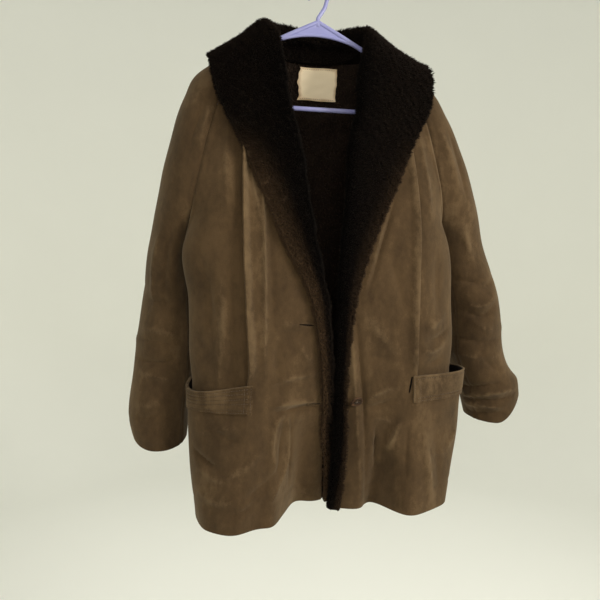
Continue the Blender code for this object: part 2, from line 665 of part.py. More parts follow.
def make_button(collection):
    """Round button with a raised rim on the left front, hanging on its thread with its face tipped down."""
    points, across = front_grid("left", BUTTON_Z + np.array((BUTTON_RADIUS, 0.0, -BUTTON_RADIUS)))
    normals = grid_normals(points, np.array((0.5, -1.0, 0.0)))
    place = np.array([np.interp(BUTTON_ACROSS, across, points[1, :, k]) for k in range(3)])
    facing = unit(np.array([np.interp(BUTTON_ACROSS, across, normals[1, :, k]) for k in range(3)]))
    aside = unit(np.cross((0.0, 0.0, 1.0), facing))
    upward = np.cross(facing, aside)
    drop = unit(BUTTON_DROP[0] * aside + BUTTON_DROP[1] * upward)
    axis = facing * math.cos(BUTTON_LEAN) + drop * math.sin(BUTTON_LEAN)
    rim_depth = max(share * BUTTON_RADIUS * math.sin(BUTTON_LEAN) - height * BUTTON_THICK * math.cos(BUTTON_LEAN)
                    for share, height in BUTTON_PROFILE)
    mesh = bpy.data.meshes.new("button")
    outline = [(share * BUTTON_RADIUS, 0, height * BUTTON_THICK) for share, height in BUTTON_PROFILE]
    mesh.from_pydata(outline, [(i, i + 1) for i in range(len(outline) - 1)], [])
    piece = add_object("button", mesh, HORN, collection)
    screw = piece.modifiers.new("turn", "SCREW")
    screw.steps = BUTTON_STEPS
    screw.render_steps = BUTTON_STEPS
    screw.use_merge_vertices = True
    screw.merge_threshold = 0.00005
    piece.rotation_mode = "QUATERNION"
    piece.rotation_quaternion = Vector(axis).to_track_quat("Z", "Y")
    piece.location = place + facing * (rim_depth + BUTTON_GAP)
    return piece


def tube(name, points, radius, collection, closed=False):
    """Round tube through points, as a mesh with its caps welded."""
    curve = bpy.data.curves.new(name, "CURVE")
    curve.dimensions = "3D"
    curve.bevel_depth = radius
    curve.bevel_resolution = 2
    curve.use_fill_caps = True
    path = curve.splines.new("POLY")
    path.points.add(len(points) - 1)
    path.use_cyclic_u = closed
    for point, place in zip(path.points, points):
        point.co = (*place, 1)
    return curve_as_mesh(name, curve, collection)


def curve_as_mesh(name, curve, collection):
    """The evaluated mesh of a curve, with its caps welded."""
    guide = bpy.data.objects.new(name + "_curve", curve)
    collection.objects.link(guide)
    graph = bpy.context.evaluated_depsgraph_get()
    mesh = bpy.data.meshes.new_from_object(guide.evaluated_get(graph))
    bpy.data.objects.remove(guide)
    work = bmesh.new()
    work.from_mesh(mesh)
    bmesh.ops.remove_doubles(work, verts=work.verts, dist=0.00001)
    bmesh.ops.recalc_face_normals(work, faces=work.faces)
    work.to_mesh(mesh)
    work.free()
    piece = bpy.data.objects.new(name, mesh)
    collection.objects.link(piece)
    return piece


def hook_path():
    """Line of the hook: up from the apex, out to one side, and over the rail in most of a circle."""
    turn = np.radians(np.linspace(*HOOK_TURN, HOOK_STEPS))
    bow = np.stack([np.cos(turn), np.zeros(HOOK_STEPS), np.sin(turn)], axis=-1) * HOOK_RADIUS
    bow += (0, 0, HOOK_TUBE_RADIUS - HOOK_RADIUS)
    return np.concatenate([HOOK_STEM, bow])


def make_hanger(collection, helpers):
    """Tubular hanger: arms and bar in one loop, a web under the apex and the hook, joined."""
    at = np.linspace(0, len(ARM_PATH) - 1, ARM_STEPS)
    arm = spline(np.arange(len(ARM_PATH)), ARM_PATH, at)
    half = np.stack([arm[:, 0], np.zeros(ARM_STEPS), arm[:, 1]], axis=-1)
    loop = np.concatenate([half, (half * (-1, 1, 1))[:0:-1]])
    hanger = tube("hanger", loop, TUBE_RADIUS, collection, closed=True)
    hook = tube("hanger_hook", hook_path(), HOOK_TUBE_RADIUS, helpers)
    outline = bpy.data.curves.new("hanger_web", "CURVE")
    outline.dimensions = "2D"
    outline.fill_mode = "BOTH"
    outline.extrude = WEB_THICK / 2
    arch = [(x, ARCH_TOP_Z - ARCH_FALL * x ** 2) for x in np.linspace(ARCH_HALF, -ARCH_HALF, ARCH_STEPS)]
    path = outline.splines.new("POLY")
    path.points.add(len(arch) + len(WEB_TOP) - 1)
    path.use_cyclic_u = True
    for point, place in zip(path.points, arch + WEB_TOP):
        point.co = (*place, 0, 1)
    web = curve_as_mesh("hanger_web", outline, helpers)
    web.rotation_euler = (math.pi / 2, 0, 0)
    for part in (hook, web):
        part.hide_render = True
        part.display_type = "WIRE"
        join = hanger.modifiers.new(part.name, "BOOLEAN")
        join.operation = "UNION"
        join.solver = "MANIFOLD"
        join.object = part
    hanger.data.materials.append(finish_material(PLASTIC))
    hanger.data.shade_smooth()


def build():
    """The whole coat on its hanger."""
    coat, helpers = clear_scene()
    upper, lower = body_heights()
    back = back_grid(upper, lower)
    back_normals = grid_normals(back, np.array((0.0, 1.0, 0.0)))
    for side in SIDES:
        make_side_of_body(side, back, back_normals, upper, lower, coat)
    make_button(coat)
    face, face_normals = make_back(back, back_normals, coat)
    make_label(face, face_normals, coat)
    make_collar(coat)
    make_hanger(coat, helpers)


build()
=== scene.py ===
"""Suede coat with a long pile collar on a tubular hanger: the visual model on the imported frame.

Metres, +Z up, and the coat's front faces -Y. The origin is where the hook rests on its rail. "Right"
and "left" are the wearer's, so right is at -X. Cloth panels are worked out from horizontal sections
on fine grids and then creased; pile stands as joined meshes of small tufts on a cloth skin.
"""

import logging
import math
from dataclasses import dataclass, field
from enum import Enum

import bpy
import numpy as np
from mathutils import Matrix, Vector


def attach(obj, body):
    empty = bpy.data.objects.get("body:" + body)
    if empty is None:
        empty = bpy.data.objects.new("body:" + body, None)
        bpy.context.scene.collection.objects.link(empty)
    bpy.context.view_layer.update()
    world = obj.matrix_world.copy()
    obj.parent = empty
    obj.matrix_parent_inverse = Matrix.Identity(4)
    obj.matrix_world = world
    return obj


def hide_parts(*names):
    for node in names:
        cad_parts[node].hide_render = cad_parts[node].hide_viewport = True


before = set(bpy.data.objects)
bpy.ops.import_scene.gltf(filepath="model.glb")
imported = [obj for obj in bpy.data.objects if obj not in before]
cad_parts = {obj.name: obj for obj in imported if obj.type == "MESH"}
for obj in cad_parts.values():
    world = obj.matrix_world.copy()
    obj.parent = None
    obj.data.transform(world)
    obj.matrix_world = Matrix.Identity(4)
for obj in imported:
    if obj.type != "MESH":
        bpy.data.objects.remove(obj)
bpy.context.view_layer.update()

LOG = logging.getLogger("coat")

Array = np.ndarray
Piece = bpy.types.Object
Material = bpy.types.Material
Colour = tuple[float, float, float]

# Heights of the main levels
NECK_Z = -0.115
UNDERARM_Z = -0.445
POCKET_TOP_Z = -0.672
BAND_BOTTOM_Z = -0.718
HEM_Z = -0.905


class Side(Enum):
    """The wearer's two sides."""

    RIGHT = "right"
    LEFT = "left"

    @property
    def sign(self) -> float:
        """Direction of the side along X."""
        return -1.0 if self is Side.RIGHT else 1.0

    @property
    def outward(self) -> Array:
        """Roughly the way that this side's front faces."""
        return np.array((self.sign * 0.5, -1.0, 0.0))


def by_side(right: object, left: object) -> dict[Side, object]:
    """One value for each side."""
    return {Side.RIGHT: right, Side.LEFT: left}


class Seen(Enum):
    """Where a crease's line is laid on a panel from: the axis that is looked along, and its sign."""

    FRONT = (1, -1.0)
    BACK = (1, 1.0)
    FROM_RIGHT = (0, -1.0)
    FROM_LEFT = (0, 1.0)


CUFF_Z = by_side(-0.792, -0.788)

# Sections of a front in millimetres, from the hem up: front edge, front fold, side of the coat, outer seam
FRONT_COLUMNS = ("z", "edge_x", "edge_y", "fold_x", "fold_y", "side_x", "side_y", "seam_x", "seam_y")
FRONT_SECTIONS = {
    Side.RIGHT: np.array([
        (-905, 3, -38, 178, -142, 228, -62, 222, 0),
        (-800, 8, -62, 160, -126, 237, -46, 220, 0),
        (-670, 11, -88, 147, -112, 234, -42, 220, 0),
        (-540, 22, -94, 151, -110, 233, -40, 220, 2),
        (-445, 40, -90, 152, -102, 236, -40, 234, 0),
        (-380, 50, -84, 151, -94, 198, -74, 226, -45),
        (-310, 60, -75, 148, -80, 184, -68, 211, -54),
        (-230, 72, -58, 140, -62, 166, -56, 187, -49),
        (-160, 100, -40, 128, -42, 142, -40, 157, -37),
        (-115, 113, -22, 117, -23, 119, -23, 121, -22),
    ]) / 1000,
    Side.LEFT: np.array([
        (-905, 6, -76, 136, -140, 219, -70, 216, 0),
        (-800, 18, -84, 142, -124, 245, -52, 222, 0),
        (-670, 18, -88, 145, -112, 247, -46, 224, 0),
        (-540, 21, -94, 147, -110, 244, -40, 222, 4),
        (-445, 29, -90, 152, -102, 240, -38, 234, 0),
        (-380, 36, -84, 152, -94, 197, -74, 224, -45),
        (-310, 46, -75, 148, -80, 182, -68, 207, -54),
        (-230, 60, -58, 140, -62, 166, -56, 187, -49),
        (-160, 100, -40, 128, -42, 142, -40, 157, -37),
        (-115, 113, -22, 117, -23, 119, -23, 121, -22),
    ]) / 1000,
}
SIDE_SHARE = 0.65

# Sections of the back in millimetres, from the hem up: outer seam, back corner, middle of the back
BACK_COLUMNS = ("z", "seam_x", "seam_y", "corner_x", "corner_y", "middle_y")
BACK_SECTIONS = np.array([
    (-905, 222, 0, 186, 50, 66),
    (-800, 221, 0, 182, 48, 64),
    (-670, 223, 0, 180, 46, 64),
    (-540, 222, 4, 174, 47, 66),
    (-445, 234, 0, 176, 48, 68),
    (-405, 227, 26, 156, 58, 68),
    (-360, 217, 46, 130, 64, 68),
    (-300, 196, 53, 110, 65, 67),
    (-230, 167, 49, 90, 60, 64),
    (-160, 133, 38, 70, 53, 58),
    (-115, 104, 26, 56, 42, 49),
]) / 1000
BACK_KNOTS = np.array((0.0, 0.22, 0.5, 0.78, 1.0))

# Sections of a sleeve in millimetres, from the cuff up: centre and half sizes of each oval
SLEEVE_COLUMNS = ("z", "centre_x", "centre_y", "half_width", "half_depth")
SLEEVE_SECTIONS = {
    Side.RIGHT: np.array([
        (-792, 284, 34, 52, 55),
        (-740, 283, 40, 52, 57),
        (-660, 272, 47, 53, 61),
        (-543, 264, 50, 43, 66),
        (-445, 258, 44, 36, 70),
        (-370, 232, 28, 47, 70),
        (-270, 200, 10, 56, 66),
        (-200, 174, 3, 58, 55),
        (-165, 148, 0, 65, 43),
        (-115, 113, 0, 16, 24),
    ]) / 1000,
    Side.LEFT: np.array([
        (-788, 354, -12, 52, 55),
        (-730, 347, -8, 54, 58),
        (-650, 322, 2, 54, 61),
        (-550, 315, 12, 52, 65),
        (-445, 288, 33, 53, 68),
        (-360, 252, 16, 60, 70),
        (-290, 222, 8, 62, 66),
        (-216, 185, 2, 62, 56),
        (-165, 148, 0, 67, 43),
        (-115, 113, 0, 16, 24),
    ]) / 1000,
}
SLEEVE_PULL_END_Z = -0.583

# Large folds: place across a front (0 edge, 1 fold, 2 seam) or in metres on the back, width, ends, depth
FOLD_COLUMNS = ("across", "width", "bottom_z", "top_z", "depth")
FOLD_GROWTH = 1.2
FRONT_FOLDS = {
    Side.RIGHT: np.array([
        (0.28, 0.15, -0.905, -0.680, 0.032),
        (0.63, 0.11, -0.905, -0.720, -0.019),
        (1.45, 0.18, -0.905, -0.730, -0.007),
    ]),
    Side.LEFT: np.array([
        (0.56, 0.17, -0.905, -0.690, 0.040),
        (0.87, 0.12, -0.905, -0.760, -0.012),
        (1.50, 0.20, -0.905, -0.740, -0.008),
    ]),
}
BACK_FOLDS = np.array([
    (-0.095, 0.040, -0.905, -0.420, 0.018),
    (0.010, 0.045, -0.905, -0.520, -0.012),
    (0.105, 0.038, -0.905, -0.450, 0.016),
])

# Width of the collar outside the front edge, by height
LAPEL_WIDTHS = {
    Side.RIGHT: np.array([
        (-0.905, 0.006), (-0.709, 0.008), (-0.610, 0.012), (-0.538, 0.018),
        (-0.448, 0.044), (-0.361, 0.067), (-0.240, 0.100), (-0.200, 0.108),
    ]),
    Side.LEFT: np.array([
        (-0.905, 0.013), (-0.712, 0.007), (-0.610, 0.011), (-0.540, 0.017),
        (-0.431, 0.043), (-0.312, 0.087), (-0.240, 0.110), (-0.200, 0.118),
    ]),
}
LAPEL_HEIGHTS = (-0.905, -0.850, -0.780, -0.700, -0.610, -0.530, -0.450, -0.360, -0.260, -0.215)

# Collar round the neck in millimetres, front to middle of the back: outer edge, roll, inner edge (x, y, z)
NECK_ROWS = {
    Side.RIGHT: np.array([
        (188, -62, -192, 73, -52, -160, 80, -28, -168),
        (192, -26, -141, 82, -44, -90, 100, -8, -95),
        (182, 34, -128, 86, -8, -60, 92, 4, -90),
        (122, 92, -136, 62, 46, -48, 62, 30, -114),
        (0, 110, -142, 0, 68, -44, 0, 38, -118),
    ]) / 1000,
    Side.LEFT: np.array([
        (190, -61, -181, 62, -52, -160, 70, -28, -168),
        (194, -22, -131, 74, -44, -90, 96, -8, -95),
        (182, 34, -122, 82, -8, -56, 90, 4, -90),
        (124, 92, -138, 60, 46, -48, 60, 30, -114),
        (0, 110, -142, 0, 68, -44, 0, 38, -118),
    ]) / 1000,
}

# Line of one hanger arm from the apex to the bar (x, z), and the stretch of it that carries cloth
ARM_PATH = np.array([
    (0.000, -0.0590), (0.040, -0.0785), (0.080, -0.0985), (0.120, -0.1185), (0.160, -0.1385),
    (0.184, -0.1505), (0.199, -0.1650), (0.205, -0.1820), (0.198, -0.1980), (0.180, -0.2065),
    (0.150, -0.2085),
])
CLOTHED_ARM = slice(1, 8)
ARM_TO_CLOTH = 0.0067

# Length of a wave texture's band at scale 1
BAND_AT_SCALE_1 = 0.314


def unit(vectors: Array) -> Array:
    """Vectors of length one."""
    return vectors / np.linalg.norm(vectors, axis=-1, keepdims=True)


def smooth(share: Array) -> Array:
    """Soft step: 0 below 0, 1 above 1, 3s^2 - 2s^3 between."""
    held = np.clip(share, 0.0, 1.0)
    return held * held * (3.0 - 2.0 * held)


def spline(knots: Array, values: Array, at: Array) -> Array:
    """Smooth curve through table rows: cubic pieces whose slopes are the rows' own mean slopes.

    Args:
        knots: The rows' places, rising.
        values: One value or vector for each row.
        at: Where the curve is wanted; held to the ends of the table.

    Returns:
        The values at those places.
    """
    knots = np.asarray(knots, float)
    values = np.asarray(values, float)
    at = np.clip(at, knots[0], knots[-1])
    slopes = np.gradient(values, knots, axis=0)
    row = np.clip(np.searchsorted(knots, at) - 1, 0, len(knots) - 2)
    step = knots[row + 1] - knots[row]
    share = (at - knots[row]) / step
    extra = (1,) * (values.ndim - 1)
    share = share.reshape(share.shape + extra)
    step = step.reshape(step.shape + extra)
    start = (1 + 2 * share) * (1 - share) ** 2
    leave = share * (1 - share) ** 2
    end = share ** 2 * (3 - 2 * share)
    arrive = share ** 2 * (share - 1)
    return (start * values[row] + leave * step * slopes[row]
            + end * values[row + 1] + arrive * step * slopes[row + 1])


def read_rows(table: Array, names: tuple[str, ...], heights: Array) -> dict[str, Array]:
    """Each named column of a table at the given heights."""
    found = spline(table[:, 0], table, np.asarray(heights, float))
    return {name: found[:, i] for i, name in enumerate(names)}


def plan(row: dict[str, Array], name: str) -> Array:
    """The named point of each section, seen from above."""
    return np.stack([row[name + "_x"], row[name + "_y"]], axis=-1)


def with_heights(flat: Array, heights: Array) -> Array:
    """Points seen from above, given the height of their row."""
    depth = np.broadcast_to(np.asarray(heights)[:, None, None], flat.shape[:2] + (1,))
    return np.concatenate([flat, depth], axis=2)


def grid_normals(points: Array, outward: Array) -> Array:
    """Unit normals of a grid: along-row times across-row steps, turned to agree with the outward guide."""
    normals = unit(np.cross(np.gradient(points, axis=0), np.gradient(points, axis=1)))
    return normals * np.sign((normals * outward).sum(-1).mean())


def fold_ridges(folds: Array, across: Array, heights: Array) -> Array:
    """Depth of the large folds: rounded ridges that grow from their top down to the hem."""
    depth = np.zeros((len(heights), across.shape[-1]))
    for row in folds:
        fold = dict(zip(FOLD_COLUMNS, row))
        rise = np.clip((fold["top_z"] - heights) / (fold["top_z"] - fold["bottom_z"]), 0, 1)
        ridge = np.exp(-((across - fold["across"]) / fold["width"]) ** 2)
        depth = depth + fold["depth"] * (rise ** FOLD_GROWTH)[:, None] * ridge
    return depth


def rumple(points: Array) -> Array:
    """Slight unevenness of worn cloth: four slow waves whose directions and lengths share no factor.

    Args:
        points: Places in metres, with their coordinates in the last axis.

    Returns:
        A height from -1 to 1 at each place.
    """
    waves = np.array([
        (31.0, 22.0, 47.0), (-52.0, 38.0, 23.0), (17.0, -61.0, 69.0), (83.0, 29.0, -37.0),
    ])
    weights = np.array((0.34, 0.28, 0.22, 0.16))
    shifts = np.array((0.4, 2.1, 4.0, 5.2))
    return (np.sin(points @ waves.T + shifts) * weights).sum(-1)


def quads(index: Array) -> Array:
    """Faces of a grid of vertex numbers."""
    return np.stack([index[:-1, :-1], index[1:, :-1], index[1:, 1:], index[:-1, 1:]], axis=-1).reshape(-1, 4)


def tube_faces(rings: int, sides: int, closed: bool = False) -> Array:
    """Faces of rings of points that follow each other; closed joins the last ring to the first."""
    ring = np.arange(rings + (1 if closed else 0)) % rings
    side = np.arange(sides + 1) % sides
    return quads(ring[:, None] * sides + side[None])


def fan(ring: Array, hub: int) -> Array:
    """Triangles from each step of a closed ring of vertex numbers to a hub."""
    return np.stack([ring, np.roll(ring, -1), np.full(len(ring), hub)], axis=-1)


def circle(first: Array, second: Array, sides: int) -> Array:
    """Points of the unit circle in the plane of two directions."""
    turn = np.linspace(0, 2 * math.pi, sides, endpoint=False)
    return first * np.cos(turn)[:, None] + second * np.sin(turn)[:, None]


def add_mesh(name: str, points: Array, faces: Array, materials: list[Material],
             slots: Array | None = None, **values: Array) -> Piece:
    """Puts arrays into a new mesh object at the origin.

    Args:
        name: Name of the piece.
        points: Vertices, n by 3.
        faces: Vertex numbers, one face a row, all with as many corners.
        materials: Materials of the piece.
        slots: Material number of each face, where there are several.
        **values: Named numbers for each vertex, kept as attributes.

    Returns:
        The object, shaded smooth.
    """
    count, corners = faces.shape
    mesh = bpy.data.meshes.new(name)
    mesh.vertices.add(len(points))
    mesh.vertices.foreach_set("co", np.ascontiguousarray(points, np.float32).ravel())
    mesh.loops.add(count * corners)
    mesh.loops.foreach_set("vertex_index", np.ascontiguousarray(faces, np.int32).ravel())
    mesh.polygons.add(count)
    mesh.polygons.foreach_set("loop_start", np.arange(0, count * corners, corners, dtype=np.int32))
    for material in materials:
        mesh.materials.append(material)
    if slots is not None:
        mesh.polygons.foreach_set("material_index", np.ascontiguousarray(slots, np.int32))
    for key, value in values.items():
        mesh.attributes.new(key, "FLOAT", "POINT").data.foreach_set(
            "value", np.ascontiguousarray(value, np.float32).ravel())
    mesh.update(calc_edges=True)
    mesh.validate()
    mesh.shade_smooth()
    piece = bpy.data.objects.new(name, mesh)
    bpy.context.scene.collection.objects.link(piece)
    return piece


def settle(piece: Piece, slot: str, *nodes: str) -> Piece:
    """Rides a piece on the coat, hides the imported solids that it stands for, and reports it."""
    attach(piece, "root")
    if nodes:
        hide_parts(*nodes)
    LOG.info("%s: %d faces", piece.name, len(piece.data.polygons))
    return piece


def join_arrays(parts: list[tuple[Array, Array]]) -> tuple[Array, Array]:
    """Several points-and-faces pairs as one."""
    starts = np.cumsum([0] + [len(points) for points, _ in parts[:-1]])
    faces = [part_faces + start for (_, part_faces), start in zip(parts, starts)]
    return np.concatenate([points for points, _ in parts]), np.concatenate(faces)


def sweep(path: Array, radius: Array, sides: int, closed: bool = False) -> tuple[Array, Array]:
    """Round bar along a line in a plane that holds no Y: rings of the radius across the line.

    Args:
        path: Points of the line.
        radius: One radius, or one for each point.
        sides: Corners of a ring.
        closed: True for a loop.

    Returns:
        Points and four-cornered faces.
    """
    if closed:
        along = unit(np.roll(path, -1, axis=0) - np.roll(path, 1, axis=0))
    else:
        along = unit(np.gradient(path, axis=0))
    depth = np.broadcast_to((0.0, 1.0, 0.0), path.shape)
    out = unit(np.cross(along, depth))
    turn = np.linspace(0, 2 * math.pi, sides, endpoint=False)
    ring = out[:, None] * np.cos(turn)[None, :, None] + depth[:, None] * np.sin(turn)[None, :, None]
    points = path[:, None] + ring * np.broadcast_to(radius, len(path))[:, None, None]
    return points.reshape(-1, 3), tube_faces(len(path), sides, closed)


class Wire:
    """A shader socket that takes part in expressions: each operator adds a Math node."""

    def __init__(self, paint: "Paint", socket: bpy.types.NodeSocket) -> None:
        """Keeps the socket and the tree that it is in."""
        self.paint = paint
        self.socket = socket

    def _math(self, operation: str, first: "Wire | float", second: "Wire | float") -> "Wire":
        """One Math node on two values."""
        return self.paint.node("ShaderNodeMath", {"operation": operation}, {0: first, 1: second})

    def __add__(self, other: "Wire | float") -> "Wire":
        """Sum."""
        return self._math("ADD", self, other)

    __radd__ = __add__

    def __sub__(self, other: "Wire | float") -> "Wire":
        """Difference."""
        return self._math("SUBTRACT", self, other)

    def __rsub__(self, other: float) -> "Wire":
        """Difference, from the right."""
        return self._math("SUBTRACT", other, self)

    def __mul__(self, other: "Wire | float") -> "Wire":
        """Product."""
        return self._math("MULTIPLY", self, other)

    __rmul__ = __mul__

    def held(self) -> "Wire":
        """The value held between 0 and 1."""
        return self.paint.node("ShaderNodeClamp", {}, {"Value": self})


class Paint:
    """One material's node tree."""

    def __init__(self, name: str) -> None:
        """Starts a material whose patterns read the piece's own coordinates."""
        self.material = bpy.data.materials.new(name)
        self.material.use_nodes = True
        self.tree = self.material.node_tree
        self.shader = self.tree.nodes["Principled BSDF"]
        self.place = self.node("ShaderNodeTexCoord", {}, {}, "Object")

    def node(self, kind: str, settings: dict[str, object], inputs: dict[int | str, object],
             output: int | str = 0) -> Wire:
        """Adds a node.

        Args:
            kind: The node's type.
            settings: Its properties, set first.
            inputs: Values or wires of its sockets.
            output: Which of its outputs is wanted.

        Returns:
            That output.
        """
        made = self.tree.nodes.new(kind)
        for key, value in settings.items():
            setattr(made, key, value)
        for key, value in inputs.items():
            if isinstance(value, Wire):
                self.tree.links.new(value.socket, made.inputs[key])
            else:
                made.inputs[key].default_value = value
        return Wire(self, made.outputs[output])

    def noise(self, size: float, detail: float = 3.0, stretch: Colour = (1.0, 1.0, 1.0)) -> Wire:
        """Soft noise whose patches are about the given size in metres, drawn out along the axes."""
        scaled = self.node("ShaderNodeMapping", {}, {"Vector": self.place, "Scale": stretch})
        return self.node("ShaderNodeTexNoise", {}, {"Vector": scaled, "Scale": 1.0 / size, "Detail": detail})

    def attribute(self, name: str) -> Wire:
        """A number kept on the piece's vertices."""
        return self.node("ShaderNodeAttribute", {"attribute_name": name}, {}, "Fac")

    def spread(self, value: Wire, low: float, high: float) -> Wire:
        """The value stretched so that low becomes 0 and high 1, held between them."""
        return self.node("ShaderNodeMapRange", {}, {"Value": value, "From Min": low, "From Max": high})

    def mix(self, factor: Wire, first: Colour | Wire, second: Colour | Wire) -> Wire:
        """Colour from first to second."""
        ends = [end if isinstance(end, Wire) else (*end, 1.0) for end in (first, second)]
        return self.node("ShaderNodeMix", {"data_type": "RGBA"}, {0: factor, 6: ends[0], 7: ends[1]}, 2)

    def bump(self, height: Wire, distance: float, strength: float, under: Wire | None = None) -> Wire:
        """Normal bent by a height in parts of the distance, on top of another bent normal."""
        inputs: dict[int | str, object] = {"Height": height, "Distance": distance, "Strength": strength}
        if under is not None:
            inputs["Normal"] = under
        return self.node("ShaderNodeBump", {}, inputs)

    def finish(self, **sockets: object) -> Material:
        """Sets or links the shader's sockets, named with underscores for blanks, and gives the material."""
        for key, value in sockets.items():
            socket = self.shader.inputs[key.replace("_", " ")]
            if isinstance(value, Wire):
                self.tree.links.new(value.socket, socket)
            elif isinstance(value, tuple) and len(value) == 3 and socket.type == "RGBA":
                socket.default_value = (*value, 1.0)
            else:
                socket.default_value = value
        return self.material


@dataclass(frozen=True)
class SuedeFinish:
    """Napped suede: brushed light and dark patches, a fine grain, paler worn ridges, painted shade in troughs
    and painted highlight on lit edges.
    """

    shade: Colour = (0.031, 0.0178, 0.0078)
    body: Colour = (0.068, 0.0402, 0.0180)
    # Pale colour of worn ridges, also used for painted highlight on lit edges
    worn: Colour = (0.150, 0.099, 0.052)
    patch: float = 0.110
    brush: float = 0.026
    mottle: float = 0.0085
    crinkle: float = 0.075
    grain: float = 0.0016
    sheen: Colour = (0.68, 0.54, 0.37)

    def material(self) -> Material:
        """Patches, brush marks and grain are summed to a tone; a value kept on the vertices lightens it for
        worn ridges and painted highlight, and darkens it as painted shade.
        """
        paint = Paint("suede")
        patch = paint.noise(self.patch, 2.0)
        brush = paint.noise(self.brush, 4.0, (1.0, 1.0, 0.45))
        mottle = paint.noise(self.mottle, 4.0, (1.0, 1.0, 0.7))
        grain = paint.noise(self.grain, 2.0)
        wear = paint.attribute("wear")
        tone = patch * 0.50 + brush * 0.50 + mottle * 0.34 + grain * 0.22 - 0.28
        fold = paint.noise(self.crinkle, 2.5, (1.0, 1.0, 0.75)) - 0.5
        crinkle = (1.0 - fold * fold * 110.0).held() * paint.spread(paint.noise(0.16, 1.0), 0.46, 0.62)
        low = paint.mix(paint.spread(tone, 0.28, 0.60), self.shade, self.body)
        # Above 0 the vertex value is worn pallor and painted highlight; below 0 it is painted shade
        rubbed = paint.spread(tone + wear * 0.26, 0.55, 1.15)
        colour = paint.mix(rubbed, low, self.worn)
        rough = 0.86 + grain * 0.12
        creased = paint.bump(crinkle, 0.0016, 0.45)
        nap = paint.bump(brush * 0.5 + mottle * 0.5, 0.0022, 0.42, creased)
        fine = paint.bump(grain, 0.0007, 0.45, nap)
        return paint.finish(Base_Color=colour, Roughness=rough, Normal=fine, Sheen_Weight=0.20,
                            Sheen_Roughness=0.55, Sheen_Tint=self.sheen, Specular_IOR_Level=0.10)


@dataclass(frozen=True)
class PileFinish:
    """Dense dark pile: black-brown at the root, warmer at the tips, in soft clumps.

    Above 0 the attribute "brown" turns it brown, partly its own colour and partly painted bounce light, and
    below 0 it darkens it as painted shade.
    """

    root: Colour = (0.0020, 0.0013, 0.0009)
    tip: Colour = (0.0092, 0.0056, 0.0036)
    # Brown of the outer edge, partly painted bounce light
    edge: Colour = (0.085, 0.050, 0.026)
    clump: float = 0.016

    def material(self, name: str, tufted: bool) -> Material:
        """Clumps vary the tone; on tufts the tip attribute lightens it towards the ends."""
        paint = Paint(name)
        clump = paint.noise(self.clump, 3.0)
        fibre = paint.noise(0.0012, 2.0)
        if tufted:
            tone = paint.attribute("tip") * 0.75 + paint.attribute("tint") * 0.35 + clump * 0.5 - 0.35
        else:
            tone = clump * 0.5 + fibre * 0.35 - 0.20
        # Below 0 the attribute darkens the pile as painted shade
        opened = (paint.attribute("brown") * -1.0).held()
        tone = tone - opened * 0.9
        colour = paint.mix(tone.held(), self.root, self.tip)
        brown = paint.attribute("brown").held() * (tone.held() * 0.5 + 0.4)
        colour = paint.mix(brown, colour, self.edge)
        soft = paint.bump(clump * 0.6 + fibre * 0.4, 0.0030, 0.5)
        return paint.finish(Base_Color=colour, Roughness=0.72 + clump * 0.2, Normal=soft, Sheen_Weight=0.03,
                            Sheen_Roughness=0.45, Sheen_Tint=(0.50, 0.36, 0.26), Specular_IOR_Level=0.06)


@dataclass(frozen=True)
class LabelFinish:
    """Plain woven cream label, worn and soiled."""

    clean: Colour = (0.95, 0.80, 0.57)
    soiled: Colour = (0.50, 0.31, 0.15)
    thread: float = 0.0007

    def material(self) -> Material:
        """Two crossed waves give the weave; soft noise and a soiling value kept on the vertices give the
        soiling.
        """
        paint = Paint("label_cloth")
        bands = {"Vector": paint.place, "Scale": BAND_AT_SCALE_1 / self.thread, "Distortion": 0.6}
        warp, weft = (paint.node("ShaderNodeTexWave", {"bands_direction": way}, bands, "Fac") for way in "XZ")
        soil = paint.spread(paint.noise(0.020, 3.0) * 0.8 + paint.attribute("wear") * 0.6, 0.38, 0.95)
        weave = warp * 0.5 + weft * 0.5
        cloth = paint.mix(soil, self.clean, self.soiled)
        colour = paint.mix(weave * 0.22, cloth, self.soiled)
        return paint.finish(Base_Color=colour, Roughness=0.80 + weave * 0.12,
                            Normal=paint.bump(weave, 0.0004, 0.5), Sheen_Weight=0.15)


@dataclass(frozen=True)
class HornFinish:
    """Dark horn-like button: streaks in brown, polished and a little scratched."""

    dark: Colour = (0.020, 0.010, 0.005)
    streak: Colour = (0.085, 0.042, 0.019)

    def material(self) -> Material:
        """Noise drawn out along X gives the streaks; fine noise dulls the polish."""
        paint = Paint("button_horn")
        streaks = paint.spread(paint.noise(0.004, 4.0, (0.25, 1.0, 1.0)), 0.42, 0.70)
        scuffs = paint.noise(0.0012, 3.0)
        return paint.finish(Base_Color=paint.mix(streaks, self.dark, self.streak),
                            Roughness=0.34 + scuffs * 0.22, Normal=paint.bump(scuffs, 0.0002, 0.2),
                            Specular_IOR_Level=0.18)


@dataclass(frozen=True)
class HangerFinish:
    """Moulded lavender plastic: even colour, faint flow marks, light scuffs."""

    colour: Colour = (0.225, 0.228, 0.450)
    pale: Colour = (0.310, 0.313, 0.540)

    def material(self) -> Material:
        """Slow noise pales the colour; fine noise varies the gloss."""
        paint = Paint("hanger_plastic")
        flow = paint.spread(paint.noise(0.030, 3.0, (0.4, 1.0, 1.0)), 0.35, 0.75)
        scuffs = paint.noise(0.0016, 4.0)
        return paint.finish(Base_Color=paint.mix(flow, self.colour, self.pale),
                            Roughness=0.26 + scuffs * 0.18, Normal=paint.bump(scuffs, 0.0003, 0.12),
                            Subsurface_Weight=0.08, Subsurface_Radius=(0.004, 0.004, 0.006))


